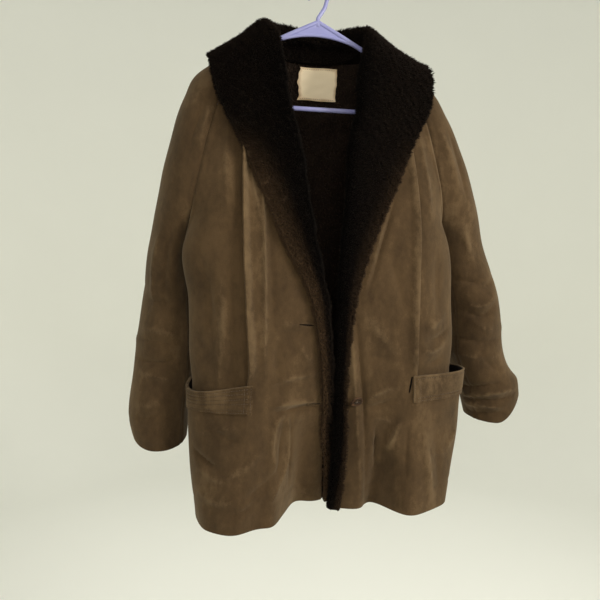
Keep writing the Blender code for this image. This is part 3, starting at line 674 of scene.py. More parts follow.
@dataclass(frozen=True)
class ThreadFinish:
    """Twisted sewing thread."""

    light: Colour = (0.085, 0.054, 0.027)
    dark: Colour = (0.030, 0.019, 0.010)

    def material(self) -> Material:
        """Fine noise stands for the twist."""
        paint = Paint("thread")
        twist = paint.noise(0.0009, 2.0)
        return paint.finish(Base_Color=paint.mix(twist, self.dark, self.light), Roughness=0.62 + twist * 0.2,
                            Normal=paint.bump(twist, 0.0003, 0.4), Sheen_Weight=0.2)


@dataclass(frozen=True)
class BackdropFinish:
    """Pale matt floor and wall of the studio."""

    colour: Colour = (0.90, 0.90, 0.84)
    marked: Colour = (0.87, 0.87, 0.81)

    def material(self) -> Material:
        """Very faint slow noise keeps the surface from being dead even."""
        paint = Paint("backdrop")
        slow = paint.noise(0.6, 2.0)
        return paint.finish(Base_Color=paint.mix(slow, self.colour, self.marked), Roughness=0.9 + slow * 0.05)


@dataclass(frozen=True)
class Crease:
    """A soft ridge or trough along a bent line that is laid on a panel.

    The line is a parabola through three points, given as the two coordinates that are seen, and it is
    laid on the nearest points of the panel that face the viewer.
    """

    line: tuple[Array, Array, Array]
    height: float
    width: float
    seen: Seen = Seen.FRONT

    def relief(self, points: Array, normals: Array) -> Array:
        """Height that the crease adds: a narrow crest along its line that dies out at both ends.

        Args:
            points: Points of the panel, n by 3.
            normals: Their normals.

        Returns:
            Height of each point.
        """
        axis, facing = self.seen.value
        kept = [k for k in range(3) if k != axis]
        share = np.linspace(0, 1, 97)
        start, middle, end = self.line
        control = 2 * middle - (start + end) / 2
        flat = ((1 - share) ** 2)[:, None] * start + (2 * share * (1 - share))[:, None] * control \
            + (share ** 2)[:, None] * end
        turned_away = np.where(normals[:, axis] * facing > 0.05, 0.0, 1.0)
        nearest = (((points[None, :, kept] - flat[:, None]) ** 2).sum(-1) + turned_away[None]).argmin(1)
        line = points[nearest]
        line[:, kept] = flat
        line[1:-1] = (line[:-2] + 2 * line[1:-1] + line[2:]) / 4
        away = np.linalg.norm(points[:, None] - line[None], axis=-1)
        at = away.argmin(1)
        ends = np.sin(np.pi * np.clip(share[at], 0.02, 0.98)) ** 0.7
        blunt = 0.22 * self.width
        return self.height * ends * np.exp((blunt - np.hypot(away.min(1), blunt)) / (0.52 * self.width))


def creases(table: dict[Seen, list[tuple[float, ...]]]) -> list[Crease]:
    """Creases from rows in millimetres: start, middle and end of the line as seen, height and width."""
    return [Crease((row[0:2], row[2:4], row[4:6]), row[6], row[7], seen)
            for seen, rows in table.items() for row in np.array(rows) / 1000]


@dataclass
class Cloth:
    """A panel as a grid of points, with its normals and the height that its creases gave it."""

    points: Array
    normals: Array
    relief: Array = field(init=False)

    def __post_init__(self) -> None:
        """Starts without relief."""
        self.relief = np.zeros(self.points.shape[:2])

    def lift(self, height: Array) -> None:
        """Moves the points out along their normals."""
        self.points = self.points + self.normals * height[..., None]
        self.relief = self.relief + height

    def crease(self, laid: list[Crease], unevenness: float, gain: float = 1.7) -> None:
        """Lays the creases and a slight unevenness on the panel, and works its normals out again."""
        flat = self.points.reshape(-1, 3)
        across = self.normals.reshape(-1, 3)
        height = np.zeros(len(flat))
        for one in laid:
            height += one.relief(flat, across)
        self.lift(gain * height.reshape(self.relief.shape))
        self.points = self.points + self.normals * (unevenness * rumple(self.points))[..., None]
        self.normals = grid_normals(self.points, self.normals)

    def roll_edge(self, column: int, height: float = 0.0012, reach: float = 0.0050) -> None:
        """Puffs one side of the panel beside its seam: a low bell at the given reach from the edge."""
        steps = np.linalg.norm(np.diff(self.points, axis=1), axis=-1)
        from_first = np.concatenate([np.zeros((len(steps), 1)), np.cumsum(steps, axis=1)], axis=1)
        away = from_first if column == 0 else from_first[:, -1:] - from_first
        self.lift(height * np.exp(-((away - reach) / (0.7 * reach)) ** 2))

    def at_xz(self, x: Array, z: Array) -> tuple[Array, Array]:
        """Points and normals at the given x and z, by the nearest rows and columns of the grid.

        Args:
            x: Places across.
            z: Places up, one for each x.

        Returns:
            Points and unit normals.
        """
        rows = np.interp(-z, -self.points[:, 0, 2], np.arange(len(self.points)))
        low = np.clip(rows.astype(int), 0, len(self.points) - 2)
        share = (rows - low)[:, None, None]
        line = self.points[low] * (1 - share) + self.points[low + 1] * share
        normal = self.normals[low] * (1 - share) + self.normals[low + 1] * share
        falling = line[:, -1, 0] < line[:, 0, 0]
        line[falling] = line[falling, ::-1]
        normal[falling] = normal[falling, ::-1]
        column = np.clip((line[..., 0] < x[:, None]).sum(1) - 1, 0, line.shape[1] - 2)
        pick = np.arange(len(x))
        span = line[pick, column + 1, 0] - line[pick, column, 0]
        part = ((x - line[pick, column, 0]) / span)[:, None]
        place = line[pick, column] * (1 - part) + line[pick, column + 1] * part
        facing = normal[pick, column] * (1 - part) + normal[pick, column + 1] * part
        return place, unit(facing)

    def wall(self, name: str, thickness: Array | float, outer: Material, inner: Material,
             round_edge: float = 0.0005, **values: Array) -> Piece:
        """The panel as a closed wall; the arguments are those of the function wall."""
        faces = quads(np.arange(self.relief.size).reshape(self.relief.shape))
        return wall(name, self.points.reshape(-1, 3), self.normals.reshape(-1, 3), faces, thickness,
                    outer, inner, round_edge, **values)


def wall(name: str, points: Array, normals: Array, faces: Array, thickness: Array | float,
         outer: Material, inner: Material, round_edge: float = 0.0005, **values: Array) -> Piece:
    """Closed cloth wall: the face outside, the same face moved in by the thickness, and their rims.

    Args:
        name: Name of the piece.
        points: Points of the outer face, n by 3.
        normals: Their normals.
        faces: Four-cornered faces of the outer face.
        thickness: Of the cloth, one or for each point.
        outer: Material of the outer face and the rims.
        inner: Material of the inner face.
        round_edge: Width of the rounding of the rims.
        **values: Named numbers for each point.

    Returns:
        The wall.
    """
    first = points[faces[0]]
    facing = np.cross(first[1] - first[0], first[2] - first[0]) @ normals[faces[0]].mean(0)
    faces = faces if facing > 0 else faces[:, ::-1]
    under = len(points)
    edges = np.concatenate([faces[:, [k, (k + 1) % 4]] for k in range(4)])
    _, place, count = np.unique(np.sort(edges, axis=1), axis=0, return_index=True, return_counts=True)
    rim = edges[place[count == 1]]
    rims = np.stack([rim[:, 1], rim[:, 0], rim[:, 0] + under, rim[:, 1] + under], axis=-1)
    inside = points - normals * np.broadcast_to(thickness, len(points))[:, None]
    slots = np.concatenate([np.zeros(len(faces)), np.ones(len(faces)), np.zeros(len(rims))])
    doubled = {key: np.concatenate([value.ravel(), value.ravel()]) for key, value in values.items()}
    piece = add_mesh(name, np.concatenate([points, inside]),
                     np.concatenate([faces, faces[:, ::-1] + under, rims]), [outer, inner], slots, **doubled)
    if round_edge:
        bevel = piece.modifiers.new("rounded_edge", "BEVEL")
        bevel.width = round_edge
        bevel.segments = 2
        bevel.limit_method = "ANGLE"
        bevel.angle_limit = math.radians(50)
        bevel.harden_normals = True
    return piece


class CoatForm:
    """The coat's forms as grids of points, worked out from the section tables."""

    def front(self, side: Side, heights: Array, across: Array) -> Array:
        """One front: straight from its edge to the fold, then a parabola round the side to the seam.

        Args:
            side: Which front.
            heights: Heights of the rows.
            across: Places of the columns: 0 edge, 1 fold, 2 seam.

        Returns:
            Points, rows by columns by 3.
        """
        row = read_rows(FRONT_SECTIONS[side], FRONT_COLUMNS, heights)
        edge, fold, flank, seam = (plan(row, name)[:, None] for name in ("edge", "fold", "side", "seam"))
        inner = edge + (fold - edge) * np.clip(across, 0, 1)[None, :, None]
        rest = 1 - SIDE_SHARE
        control = (flank - rest ** 2 * fold - SIDE_SHARE ** 2 * seam) / (2 * SIDE_SHARE * rest)
        share = np.clip(across - 1, 0, 1)[None, :, None]
        outer = (1 - share) ** 2 * fold + 2 * share * (1 - share) * control + share ** 2 * seam
        flat = np.where(across[None, :, None] <= 1, inner, outer)
        flat[..., 1] += fold_ridges(FRONT_FOLDS[side], across[None], heights)
        return with_heights(flat * (side.sign, 1), heights)

    def back(self, heights: Array, share: Array) -> Array:
        """The back from the right seam to the left: a smooth curve over seam, corner and middle.

        Args:
            heights: Heights of the rows.
            share: Places of the columns, 0 right seam to 1 left seam.

        Returns:
            Points, rows by columns by 3.
        """
        row = read_rows(BACK_SECTIONS, BACK_COLUMNS, heights)
        middle = np.stack([np.zeros(len(heights)), row["middle_y"]], axis=-1)
        below = (np.asarray(heights) < UNDERARM_Z)[:, None]
        seams = {}
        for side in Side:
            own = plan(row, "seam") * (side.sign, 1)
            met = self.front(side, heights, np.array((1.0, 2.0)))[:, -1, :2]
            seams[side] = np.where(below, met, own)
        corner = plan(row, "corner")
        stations = np.stack([seams[Side.RIGHT], corner * (-1, 1), middle, corner, seams[Side.LEFT]])
        flat = spline(BACK_KNOTS, stations, share).transpose(1, 0, 2)
        flat[:, 1:-1, 1] += fold_ridges(BACK_FOLDS, flat[..., 0], heights)[:, 1:-1]
        return with_heights(flat, heights)

    def shoulder_line(self) -> Array:
        """Top of the cloth over a hanger arm: the arm's line moved out by its tube, a gap and the cloth."""
        step = np.gradient(ARM_PATH, axis=0)
        return ARM_PATH + unit(np.stack([-step[:, 1], step[:, 0]], axis=-1)) * ARM_TO_CLOTH

    def sleeve(self, side: Side, heights: Array, share: Array, front_seam: Array, back_seam: Array) -> Array:
        """A sleeve: ovals that are open from seam to seam above the underarm and full rings below it.

        Args:
            side: Which sleeve.
            heights: Heights of the rows.
            share: Places of the columns, 0 front seam to 1 back seam.
            front_seam: The front's seam seen from above, for the rows down to the underarm.
            back_seam: The back's seam, likewise.

        Returns:
            Points, rows by columns by 3.
        """
        row = read_rows(SLEEVE_SECTIONS[side], SLEEVE_COLUMNS, heights)
        centre = plan(row, "centre")
        half = np.stack([row["half_width"], row["half_depth"]], axis=-1)
        on_arm = self.shoulder_line()[CLOTHED_ARM]
        resting = heights >= on_arm[-1, 1]
        over_arm = np.interp(-heights, -on_arm[:, 1], on_arm[:, 0]) - centre[:, 0]
        half[resting, 0] = np.maximum(half[resting, 0], over_arm[resting])
        count = len(front_seam)
        to_front = (front_seam - centre[:count]) / half[:count]
        to_back = (back_seam - centre[:count]) / half[:count]
        start = np.arctan2(to_front[:, 1], to_front[:, 0])
        stop = np.arctan2(to_back[:, 1], to_back[:, 0])
        stop = np.where(stop < 0, stop + 2 * math.pi, stop)
        stop[-1] = start[-1] + 2 * math.pi
        rest = (0, len(heights) - count)
        start, stop = (np.pad(turn, rest, mode="edge")[:, None] for turn in (start, stop))
        turn = np.where(share[None] < 0.5, start * (1 - 2 * share), stop * (2 * share - 1))
        oval = centre[:, None] + half[:, None] * np.stack([np.cos(turn), np.sin(turn)], axis=-1)
        fade = np.clip((heights - SLEEVE_PULL_END_Z) / (UNDERARM_Z - SLEEVE_PULL_END_Z), 0, 1)[:, None]
        pulls = []
        for seam, column in ((front_seam, 0), (back_seam, -1)):
            pull = np.pad(seam - oval[:count, column], (rest, (0, 0)), mode="edge")
            pulls.append((pull * fade)[:, None])
        near_front = np.clip(1 - 3 * share, 0, 1)[None, :, None] ** 2
        near_back = np.clip(3 * share - 2, 0, 1)[None, :, None] ** 2
        flat = oval + pulls[0] * near_front + pulls[1] * near_back
        return with_heights(flat * (side.sign, 1), heights)


@dataclass
class Body:
    """Fronts, side panels, back and sleeves in suede."""

    form: CoatForm
    suede: Material
    lining: Material
    thick: float = 0.0019
    hem_thick: float = 0.0034
    hem_deep: float = 0.036
    unevenness: float = 0.0010
    roll: float = 0.0021
    rounding: int = 34
    rows_up: int = 164
    rows_low: int = 68
    rows_raglan: int = 74
    rows_arm: int = 98
    fronts: dict[Side, Cloth] = field(default_factory=dict)
    lower: dict[Side, Cloth] = field(default_factory=dict)
    back: Cloth | None = None

    # Fold edge of a front: its lift, its paler tone (worn nap and painted highlight, most on the left front)
    # and the cloth tucked in under it
    EDGE_LIFT = by_side(0.0075, 0.0048)
    EDGE_LIFT_TOP_Z = NECK_Z - 0.02
    EDGE_LIFT_FADES = (0.030, 0.06)
    EDGE_LIFT_FROM, EDGE_LIFT_SPAN = 0.86, 0.14
    EDGE_TONE = by_side(0.0010, 0.0040)
    EDGE_TONE_FROM, EDGE_TONE_SPAN = 0.955, 0.045
    SEAM_TONE_SHARE = 0.6
    TUCK_IN = (0.0025, 0.0045)
    TUCK_UNDER = (0.0015, 0.0045)

    # Side panel: how it runs under the front, sinks beside it, carries painted shade beside the fold and over
    # the right panel, and dips into the pocket
    SIDE_UNDER = (0.007, 0.0035)
    SIDE_SINK = by_side(0.0085, 0.0060)
    SINK_TOP_Z = NECK_Z - 0.01
    SINK_FADE = 0.05
    SINK_LONG = 0.020
    SIDE_TONE = by_side(-0.0016, 0.0)
    SHADE_DEEP = 0.0016
    SHADE_LONG = 0.014
    POCKET_DIP = by_side(0.0045, 0.0060)
    POCKET_DIP_Z = -0.600
    POCKET_TUCK_Z = -0.718
    DIP_AT_SEAM, DIP_SEAM_FROM, DIP_SEAM_SPAN = 0.3, 1.75, 0.25

    # Lower front: how the pocket's mouth gapes, sags and tips up, and where the fold is rounded
    POCKET_GAPE = by_side(0.005, 0.020)
    GAPE_LONG = by_side(0.120, 0.270)
    GAPE_SPREAD = by_side(1.0, 0.72)
    MOUTH_SAG = by_side(0.0130, 0.0020)
    MOUTH_TIP = by_side(0.0060, 0.0150)
    MOUTH_TURN = by_side(1.88, 1.80)
    MOUTH_SPAN = 0.92
    ROUNDED_FROM_Z = BAND_BOTTOM_Z + 0.004
    ROUNDED_FADE = 0.07
    ROUNDED_WIDE = 0.30

    # Cuff: how its outer and inner sides rise, which way they lie, and how it drops and is drawn in
    CUFF_RISE = by_side(0.014, 0.048)
    CUFF_INNER_RISE = by_side(0.013, 0.006)
    CUFF_FACING = by_side(0.0, math.radians(20.0))
    CUFF_ROUND = by_side(3.0, 2.0)
    CUFF_HANG = 0.12
    CUFF_DROP = by_side(0.005, -0.005)
    CUFF_PINCH = by_side(0.008, 0.003)
    CUFF_TURNED = 0.05
    PINCH_INNER = -0.4
    CUFF_HEM_SHARE = 0.6

    # Turned hem, the relief that gets the full tone (worn pallor on ridges, painted shade in troughs), and
    # the strength of the back's creases
    HEM_TROUGH = 0.0006
    HEM_TROUGH_WIDE = 0.0035
    HEM_STEP = 0.004
    WEAR_RELIEF = 0.0045
    WEAR_POWER = 1.2
    BACK_GAIN = 1.3

    # A step down that puts the underarm's row among those below it
    JUST_BELOW = 1e-9

    # Places of the columns across each panel
    EDGE_ACROSS = np.linspace(0, 1, 58)
    SEAM_ACROSS = np.concatenate([np.linspace(1, 1.93, 36), (1.955, 1.975, 1.99, 2.0)])
    BACK_SHARE = np.concatenate([(0, 0.004, 0.010, 0.018), np.linspace(0.03, 0.97, 61),
                                 (0.982, 0.990, 0.996, 1.0)])
    SLEEVE_SHARE = np.concatenate([(0, 0.005, 0.012, 0.022), np.linspace(0.036, 0.964, 96),
                                   (0.978, 0.988, 0.995, 1.0)])

    FRONT_CREASES = {
        Side.RIGHT: creases({Seen.FRONT: [
            (-119, -340, -119, -480, -121, -668, 4.2, 6), (-108, -372, -105, -480, -106, -600, -2.2, 11),
            (-97, -574, -78, -575, -55, -577, 2, 4), (-100, -588, -75, -592, -40, -590, -2.2, 6.5),
            (-112, -711, -65, -710, -20, -712, 3.8, 6), (-108, -722, -65, -720, -20, -721, -3.6, 6.5),
            (-75, -716, -104, -752, -103, -812, 3, 6), (-86, -738, -93, -790, -97, -840, -2.6, 7.5),
            (-77, -736, -80, -806, -118, -870, 3.4, 6.5), (-72, -722, -70, -790, -71, -866, -3, 7),
            (-44, -735, -42, -795, -44, -870, -2.2, 30), (-232, -782, -217, -797, -198, -803, -4.6, 8),
            (-228, -806, -206, -822, -186, -826, 1.8, 8.5), (-170, -868, -136, -857, -100, -832, 3, 7.5),
            (-160, -852, -122, -836, -83, -803, -2.6, 8), (-206, -738, -184, -758, -146, -768, -2, 10),
            (-228, -842, -200, -858, -164, -846, 2.4, 9), (-114, -676, -76, -667, -24, -662, 2.8, 6),
            (-96, -600, -97, -640, -94, -690, -3.4, 18), (-136, -330, -130, -370, -122, -420, 1.8, 6),
            (-60, -610, -50, -630, -34, -640, 1.8, 9), (-152, -747, -181, -766, -222, -790, -2.3, 8),
            (-124, -778, -162, -808, -200, -826, 2.1, 8), (-100, -829, -138, -858, -178, -876, -3.2, 7),
            (-160, -735, -190, -744, -228, -754, 2.6, 7),
        ]}),
        Side.LEFT: creases({Seen.FRONT: [
            (36, -560, 54, -706, 64, -905, -4, 8.5), (28, -570, 42, -715, 52, -900, 3, 8.5),
            (112, -366, 88, -440, 60, -526, -3.6, 6.5), (102, -372, 78, -446, 52, -530, 2.6, 6),
            (78, -762, 80, -800, 81, -842, -3.4, 4), (60, -712, 88, -697, 120, -686, 2.4, 5.5),
            (60, -728, 85, -722, 114, -712, -2.8, 6.5), (66, -740, 88, -747, 110, -750, 2, 7),
            (118, -744, 108, -776, 96, -806, 3.2, 8), (130, -760, 124, -800, 120, -850, -2.6, 10),
            (160, -760, 165, -830, 171, -897, 3.4, 10), (186, -760, 188, -820, 192, -880, -2.2, 11),
            (212, -808, 227, -792, 236, -772, 2.8, 5), (172, -808, 190, -813, 206, -820, 2.2, 4.2),
            (96, -460, 112, -510, 126, -570, -2.4, 16), (56, -560, 80, -600, 112, -640, 2.2, 14),
            (60, -650, 80, -640, 104, -655, -1.8, 10),
        ]}),
    }
    SIDE_CREASES = {
        Side.RIGHT: creases({Seen.FRONT: [
            (-182, -500, -184, -590, -192, -690, 3.6, 14), (-168, -480, -168, -580, -172, -690, -3.4, 11),
            (-222, -460, -206, -520, -204, -600, -2.6, 12), (-165, -240, -172, -310, -176, -400, 2.2, 12),
        ]}),
        Side.LEFT: creases({Seen.FRONT: [
            (158, -620, 181, -633, 220, -612, 3.4, 4.6), (168, -610, 192, -612, 222, -596, -3.6, 7),
            (164, -592, 188, -584, 214, -566, 2.4, 9), (172, -645, 190, -652, 212, -640, -2.4, 7),
            (196, -460, 192, -520, 196, -570, -2.4, 12), (166, -250, 174, -320, 180, -410, 2.2, 11),
        ]}),
    }
    SLEEVE_CREASES = {
        Side.RIGHT: creases({Seen.FRONT: [
            (-193, -222, -204, -248, -214, -290, 2.4, 7), (-206, -230, -222, -262, -232, -310, -2.2, 9),
            (-252, -400, -268, -470, -272, -560, -3.6, 12), (-272, -420, -288, -480, -290, -560, 2.6, 12),
            (-290, -491, -275, -489, -254, -492, 1.8, 8), (-306, -541, -281, -542, -256, -549, -2.6, 6.5),
            (-309, -588, -284, -591, -254, -598, 2.2, 8), (-316, -611, -287, -611, -258, -616, -2.8, 6),
            (-318, -641, -287, -646, -252, -640, -3.6, 6.5), (-314, -662, -290, -669, -256, -677, 2.6, 8.5),
            (-326, -742, -301, -740, -270, -728, -2.6, 7.5), (-322, -722, -298, -718, -276, -704, 2, 9),
        ],
        Seen.BACK: [
            (-240, -520, -270, -540, -300, -530, 1.8, 13), (-240, -550, -268, -562, -300, -558, -2, 12),
            (-200, -260, -225, -320, -235, -390, 3, 12),
        ],
        Seen.FROM_RIGHT: [
            (0, -500, 30, -520, 70, -512, -1.2, 12), (10, -600, 50, -612, 90, -596, 1, 14),
        ]}),
        Side.LEFT: creases({Seen.FRONT: [
            (273, -746, 318, -728, 376, -719, 4.6, 6), (266, -738, 299, -718, 350, -704, -4.6, 8),
            (279, -756, 308, -752, 346, -752, 3.8, 5), (290, -745, 324, -739, 366, -733, -4, 6),
            (288, -768, 320, -766, 356, -758, -3.2, 6.5), (252, -513, 285, -515, 334, -524, -2.6, 8),
            (254, -615, 301, -627, 356, -621, -2.8, 7.5), (255, -645, 299, -656, 352, -648, 2.4, 9),
            (278, -568, 303, -578, 338, -556, -3.6, 8), (282, -554, 306, -560, 340, -536, 3, 8),
            (288, -586, 306, -600, 330, -606, 2.6, 8.5), (290, -530, 318, -524, 348, -500, -2.8, 8),
            (300, -640, 318, -668, 350, -690, -2.4, 11), (206, -240, 232, -290, 250, -350, 2.6, 11),
            (228, -240, 252, -300, 270, -370, -2.4, 11), (262, -400, 280, -440, 296, -490, 2.8, 11),
        ],
        Seen.BACK: [
            (280, -520, 318, -540, 350, -528, 1.9, 13), (284, -552, 320, -566, 352, -556, -2, 12.5),
            (300, -600, 330, -626, 362, -620, 1.8, 13), (204, -260, 236, -320, 256, -390, 3, 12),
        ],
        Seen.FROM_LEFT: [
            (-30, -560, 10, -575, 60, -560, -1.6, 10), (-40, -596, 4, -616, 50, -600, 1.4, 11),
            (-50, -730, -20, -738, 30, -728, 1.4, 16),
        ]}),
    }
    BACK_CREASES = creases({Seen.BACK: [
        (-200, -470, -160, -520, -120, -600, 4, 12), (-190, -500, -150, -556, -112, -640, -3.4, 12),
        (200, -472, 164, -530, 128, -616, 4, 13), (186, -508, 150, -570, 110, -660, -3.2, 12),
        (-85, -230, -96, -320, -90, -420, 3.2, 16), (80, -236, 94, -340, 92, -440, 3, 15),
        (-60, -500, -44, -640, -52, -780, 3, 14), (52, -540, 60, -660, 56, -800, 3.4, 15),
        (-150, -700, -160, -780, -148, -880, -3.4, 14), (150, -690, 166, -780, 158, -880, -3.6, 13),
    ]})

    def heights(self, lowest: float = HEM_Z) -> Array:
        """Heights of a body panel's rows, with a row at the pocket's mouth."""
        low = np.linspace(POCKET_TOP_Z, HEM_Z, self.rows_low)[1:]
        return np.concatenate([np.linspace(NECK_Z, POCKET_TOP_Z, self.rows_up), low[low >= lowest - 1e-6]])

    def gape(self, side: Side, across: Array, heights: Array) -> Array:
        """How far the lower front stands off the side panel: most at the side, fading downwards."""
        swell = np.sin(np.pi * np.clip((across - 1) * self.GAPE_SPREAD[side], 0, 1)) ** 2
        fade = np.clip(1 - (POCKET_TOP_Z - heights) / self.GAPE_LONG[side], 0, 1) ** 2
        return self.POCKET_GAPE[side] * fade[:, None] * swell[None]

    def mouth(self, side: Side, across: Array, heights: Array) -> Array:
        """How far the pocket's mouth sags in its middle and tips up at the seam, fading down the band."""
        sag = np.sin(np.pi * np.clip((across - 1) / self.MOUTH_SPAN, 0, 1)) * self.MOUTH_SAG[side]
        tip = smooth((across - self.MOUTH_TURN[side]) / (2 - self.MOUTH_TURN[side])) * self.MOUTH_TIP[side]
        fade = np.clip((heights - BAND_BOTTOM_Z) / (POCKET_TOP_Z - BAND_BOTTOM_Z), 0, 1)
        return (tip - sag)[None] * fade[:, None]

    def rounded(self, points: Array, heights: Array, across: Array) -> Array:
        """A front whose fold loses its edge below the pocket: columns near it are evened out."""
        soft = points.copy()
        for _ in range(self.rounding):
            soft[:, 1:-1] = (soft[:, :-2] + 2 * soft[:, 1:-1] + soft[:, 2:]) / 4
        share = smooth((self.ROUNDED_FROM_Z - heights) / self.ROUNDED_FADE)[:, None, None]
        share = share * np.exp(-((across - 1) / self.ROUNDED_WIDE) ** 2)[None, :, None]
        return points * (1 - share) + soft * share

    def hem_line(self, heights: Array, bottom: float) -> Array:
        """A narrow trough where the turned hem ends."""
        away = (heights - bottom - self.hem_deep) / self.HEM_TROUGH_WIDE
        return -self.HEM_TROUGH * np.exp(-away ** 2)

    def thickness(self, heights: Array, bottom: float) -> Array:
        """Thickness by height: the hem is turned up inside."""
        turned = smooth((bottom + self.hem_deep - heights) / self.HEM_STEP)
        return self.thick + (self.hem_thick - self.thick) * turned

    def make_front(self, side: Side) -> None:
        """One front: an upper part whose fold edge is rolled under, and a lower part round the side.

        Args:
            side: Which front.
        """
        heights = self.heights()
        across = np.concatenate([self.EDGE_ACROSS, self.SEAM_ACROSS[1:]])
        points = self.rounded(self.form.front(side, heights, across), heights, across)
        cloth = Cloth(points, grid_normals(points, side.outward))
        low = heights <= POCKET_TOP_Z + 1e-6
        cloth.points += cloth.normals * (self.gape(side, across, heights) * low[:, None])[..., None]
        cloth.points[..., 2] += self.mouth(side, across, heights) * low[:, None]
        cloth.crease(self.FRONT_CREASES[side], self.unevenness)
        cloth.lift(self.hem_line(heights, HEM_Z)[:, None])
        cloth.roll_edge(-1)
        fold = len(self.EDGE_ACROSS) - 1
        split = self.rows_up - 1
        upper = Cloth(cloth.points[:split + 1, :fold + 1], cloth.normals[:split + 1, :fold + 1])
        upper.normals[:, fold] = upper.normals[:, fold - 1]
        upper.relief = cloth.relief[:split + 1, :fold + 1]
        high = heights[:split + 1]
        low_fade, high_fade = self.EDGE_LIFT_FADES
        rise = smooth((high - POCKET_TOP_Z) / low_fade) * smooth((self.EDGE_LIFT_TOP_Z - high) / high_fade)
        towards = smooth((self.EDGE_ACROSS - self.EDGE_LIFT_FROM) / self.EDGE_LIFT_SPAN)
        upper.lift(self.EDGE_LIFT[side] * rise[:, None] * towards[None])
        self.fronts[side] = upper
        self.lower[side] = Cloth(cloth.points[split:], cloth.normals[split:])
        out = unit(upper.points[:, fold] - upper.points[:, fold - 1])
        face = upper.normals[:, fold]
        turn = np.linspace(0, math.pi, 7)[1:]
        rolled_normals = (face[:, None] * np.cos(turn)[None, :, None]
                          + out[:, None] * np.sin(turn)[None, :, None])
        rolled = (upper.points[:, fold] - face * self.roll)[:, None] + rolled_normals * self.roll
        tuck = (rolled[:, -1:] - out[:, None] * np.array(self.TUCK_IN)[None, :, None]
                - face[:, None] * np.array(self.TUCK_UNDER)[None, :, None])
        tuck_normals = np.repeat(-face[:, None], 2, axis=1)
        high_points = np.concatenate([upper.points, rolled, tuck], axis=1)
        high_normals = np.concatenate([upper.normals, rolled_normals, tuck_normals], axis=1)
        first = np.arange(high_points.shape[0] * high_points.shape[1]).reshape(high_points.shape[:2])
        below = first.size + np.arange((len(heights) - split - 1) * len(across)).reshape(-1, len(across))
        seam = first.size + below.size + np.arange(len(across) - fold - 1)
        joint = np.concatenate([first[-1, :fold + 1], seam])
        faces = np.concatenate([quads(first), quads(np.concatenate([joint[None], below]))])

        def stacked(top: Array, whole: Array) -> Array:
            """The upper part, the rows below the mouth, and the mouth's own row beyond the fold."""
            return np.concatenate([grid.reshape(-1, *grid.shape[2:]) for grid in (
                top, whole[split + 1:], whole[split:split + 1, fold + 1:])])

        # Paler fold edge, roll and tuck: worn nap and painted highlight
        extra = np.full((split + 1, high_points.shape[1] - fold - 1), self.EDGE_TONE[side])
        towards = smooth((self.EDGE_ACROSS - self.EDGE_TONE_FROM) / self.EDGE_TONE_SPAN)
        upper.relief = upper.relief + self.EDGE_TONE[side] * towards[None]
        relief = stacked(np.concatenate([upper.relief, extra], axis=1), cloth.relief)
        points = stacked(high_points, cloth.points)
        piece = wall(f"front_{side.value}_cloth", points, stacked(high_normals, cloth.normals), faces,
                     self.thickness(points[:, 2], HEM_Z), self.suede, self.lining, wear=self.wear(relief))
        settle(piece, "suede", f"front_{side.value}")

    def wear(self, relief: Array) -> Array:
        """Tone from the relief: ridges paler as worn nap, troughs darker as painted shade."""
        share = np.clip(relief / self.WEAR_RELIEF, -1.0, 1.0)
        return np.sign(share) * np.abs(share) ** self.WEAR_POWER

    def make_side(self, side: Side) -> None:
        """One side panel: it starts under the front's fold edge and ends behind the pocket's mouth.

        Args:
            side: Which side.
        """
        heights = self.heights(self.POCKET_TUCK_Z)
        points = self.form.front(side, heights, self.SEAM_ACROSS)
        normals = grid_normals(points, side.outward)
        inward = unit(points[:, 1:2] - points[:, :1])
        under = points[:, :1] - inward * np.array(self.SIDE_UNDER)[None, :, None]
        points = np.concatenate([under, points], axis=1)
        normals = np.concatenate([np.repeat(normals[:, :1], 2, axis=1), normals], axis=1)
        cloth = Cloth(points, normals)
        dip = np.clip((self.POCKET_DIP_Z - heights) / (self.POCKET_DIP_Z - POCKET_TOP_Z), 0, 1) ** 2
        away = np.linalg.norm(points - points[:, 2:3], axis=-1)
        near = np.exp(-away / self.SINK_LONG) * smooth((self.SINK_TOP_Z - heights) / self.SINK_FADE)[:, None]
        across = np.concatenate([(1, 1), self.SEAM_ACROSS])
        seam = 1 - (1 - self.DIP_AT_SEAM) * smooth((across - self.DIP_SEAM_FROM) / self.DIP_SEAM_SPAN)[None]
        sunk = self.POCKET_DIP[side] * dip[:, None] * seam + self.SIDE_SINK[side] * near
        cloth.points -= cloth.normals * sunk[..., None]
        cloth.crease(self.SIDE_CREASES[side], self.unevenness)
        # Painted shade: the right panel darker all over, and both darker beside the front's fold down to
        # about the underarm
        above = smooth((heights - UNDERARM_Z) / 0.02 + 1)[:, None]
        cloth.relief += self.SIDE_TONE[side] - self.SHADE_DEEP * np.exp(-away / self.SHADE_LONG) * above
        cloth.roll_edge(-1)
        # Paler seam edge: worn nap and painted highlight
        cloth.relief[:, -4:] += self.EDGE_TONE[side] * self.SEAM_TONE_SHARE
        piece = cloth.wall(f"side_{side.value}_cloth", self.thick, self.suede, self.lining,
                           wear=self.wear(cloth.relief))
        settle(piece, "suede", f"side_{side.value}")

    def make_back(self) -> None:
        """The back, from seam to seam."""
        heights = self.heights()
        points = self.form.back(heights, self.BACK_SHARE)
        cloth = Cloth(points, grid_normals(points, np.array((0.0, 1.0, 0.0))))
        cloth.crease(self.BACK_CREASES, self.unevenness, self.BACK_GAIN)
        cloth.lift(self.hem_line(heights, HEM_Z)[:, None])
        cloth.roll_edge(0)
        cloth.roll_edge(-1)
        self.back = cloth
        piece = cloth.wall("back_cloth", self.thickness(cloth.points[..., 2].ravel(), HEM_Z), self.suede,
                           self.lining, wear=self.wear(cloth.relief))
        settle(piece, "suede", "back")

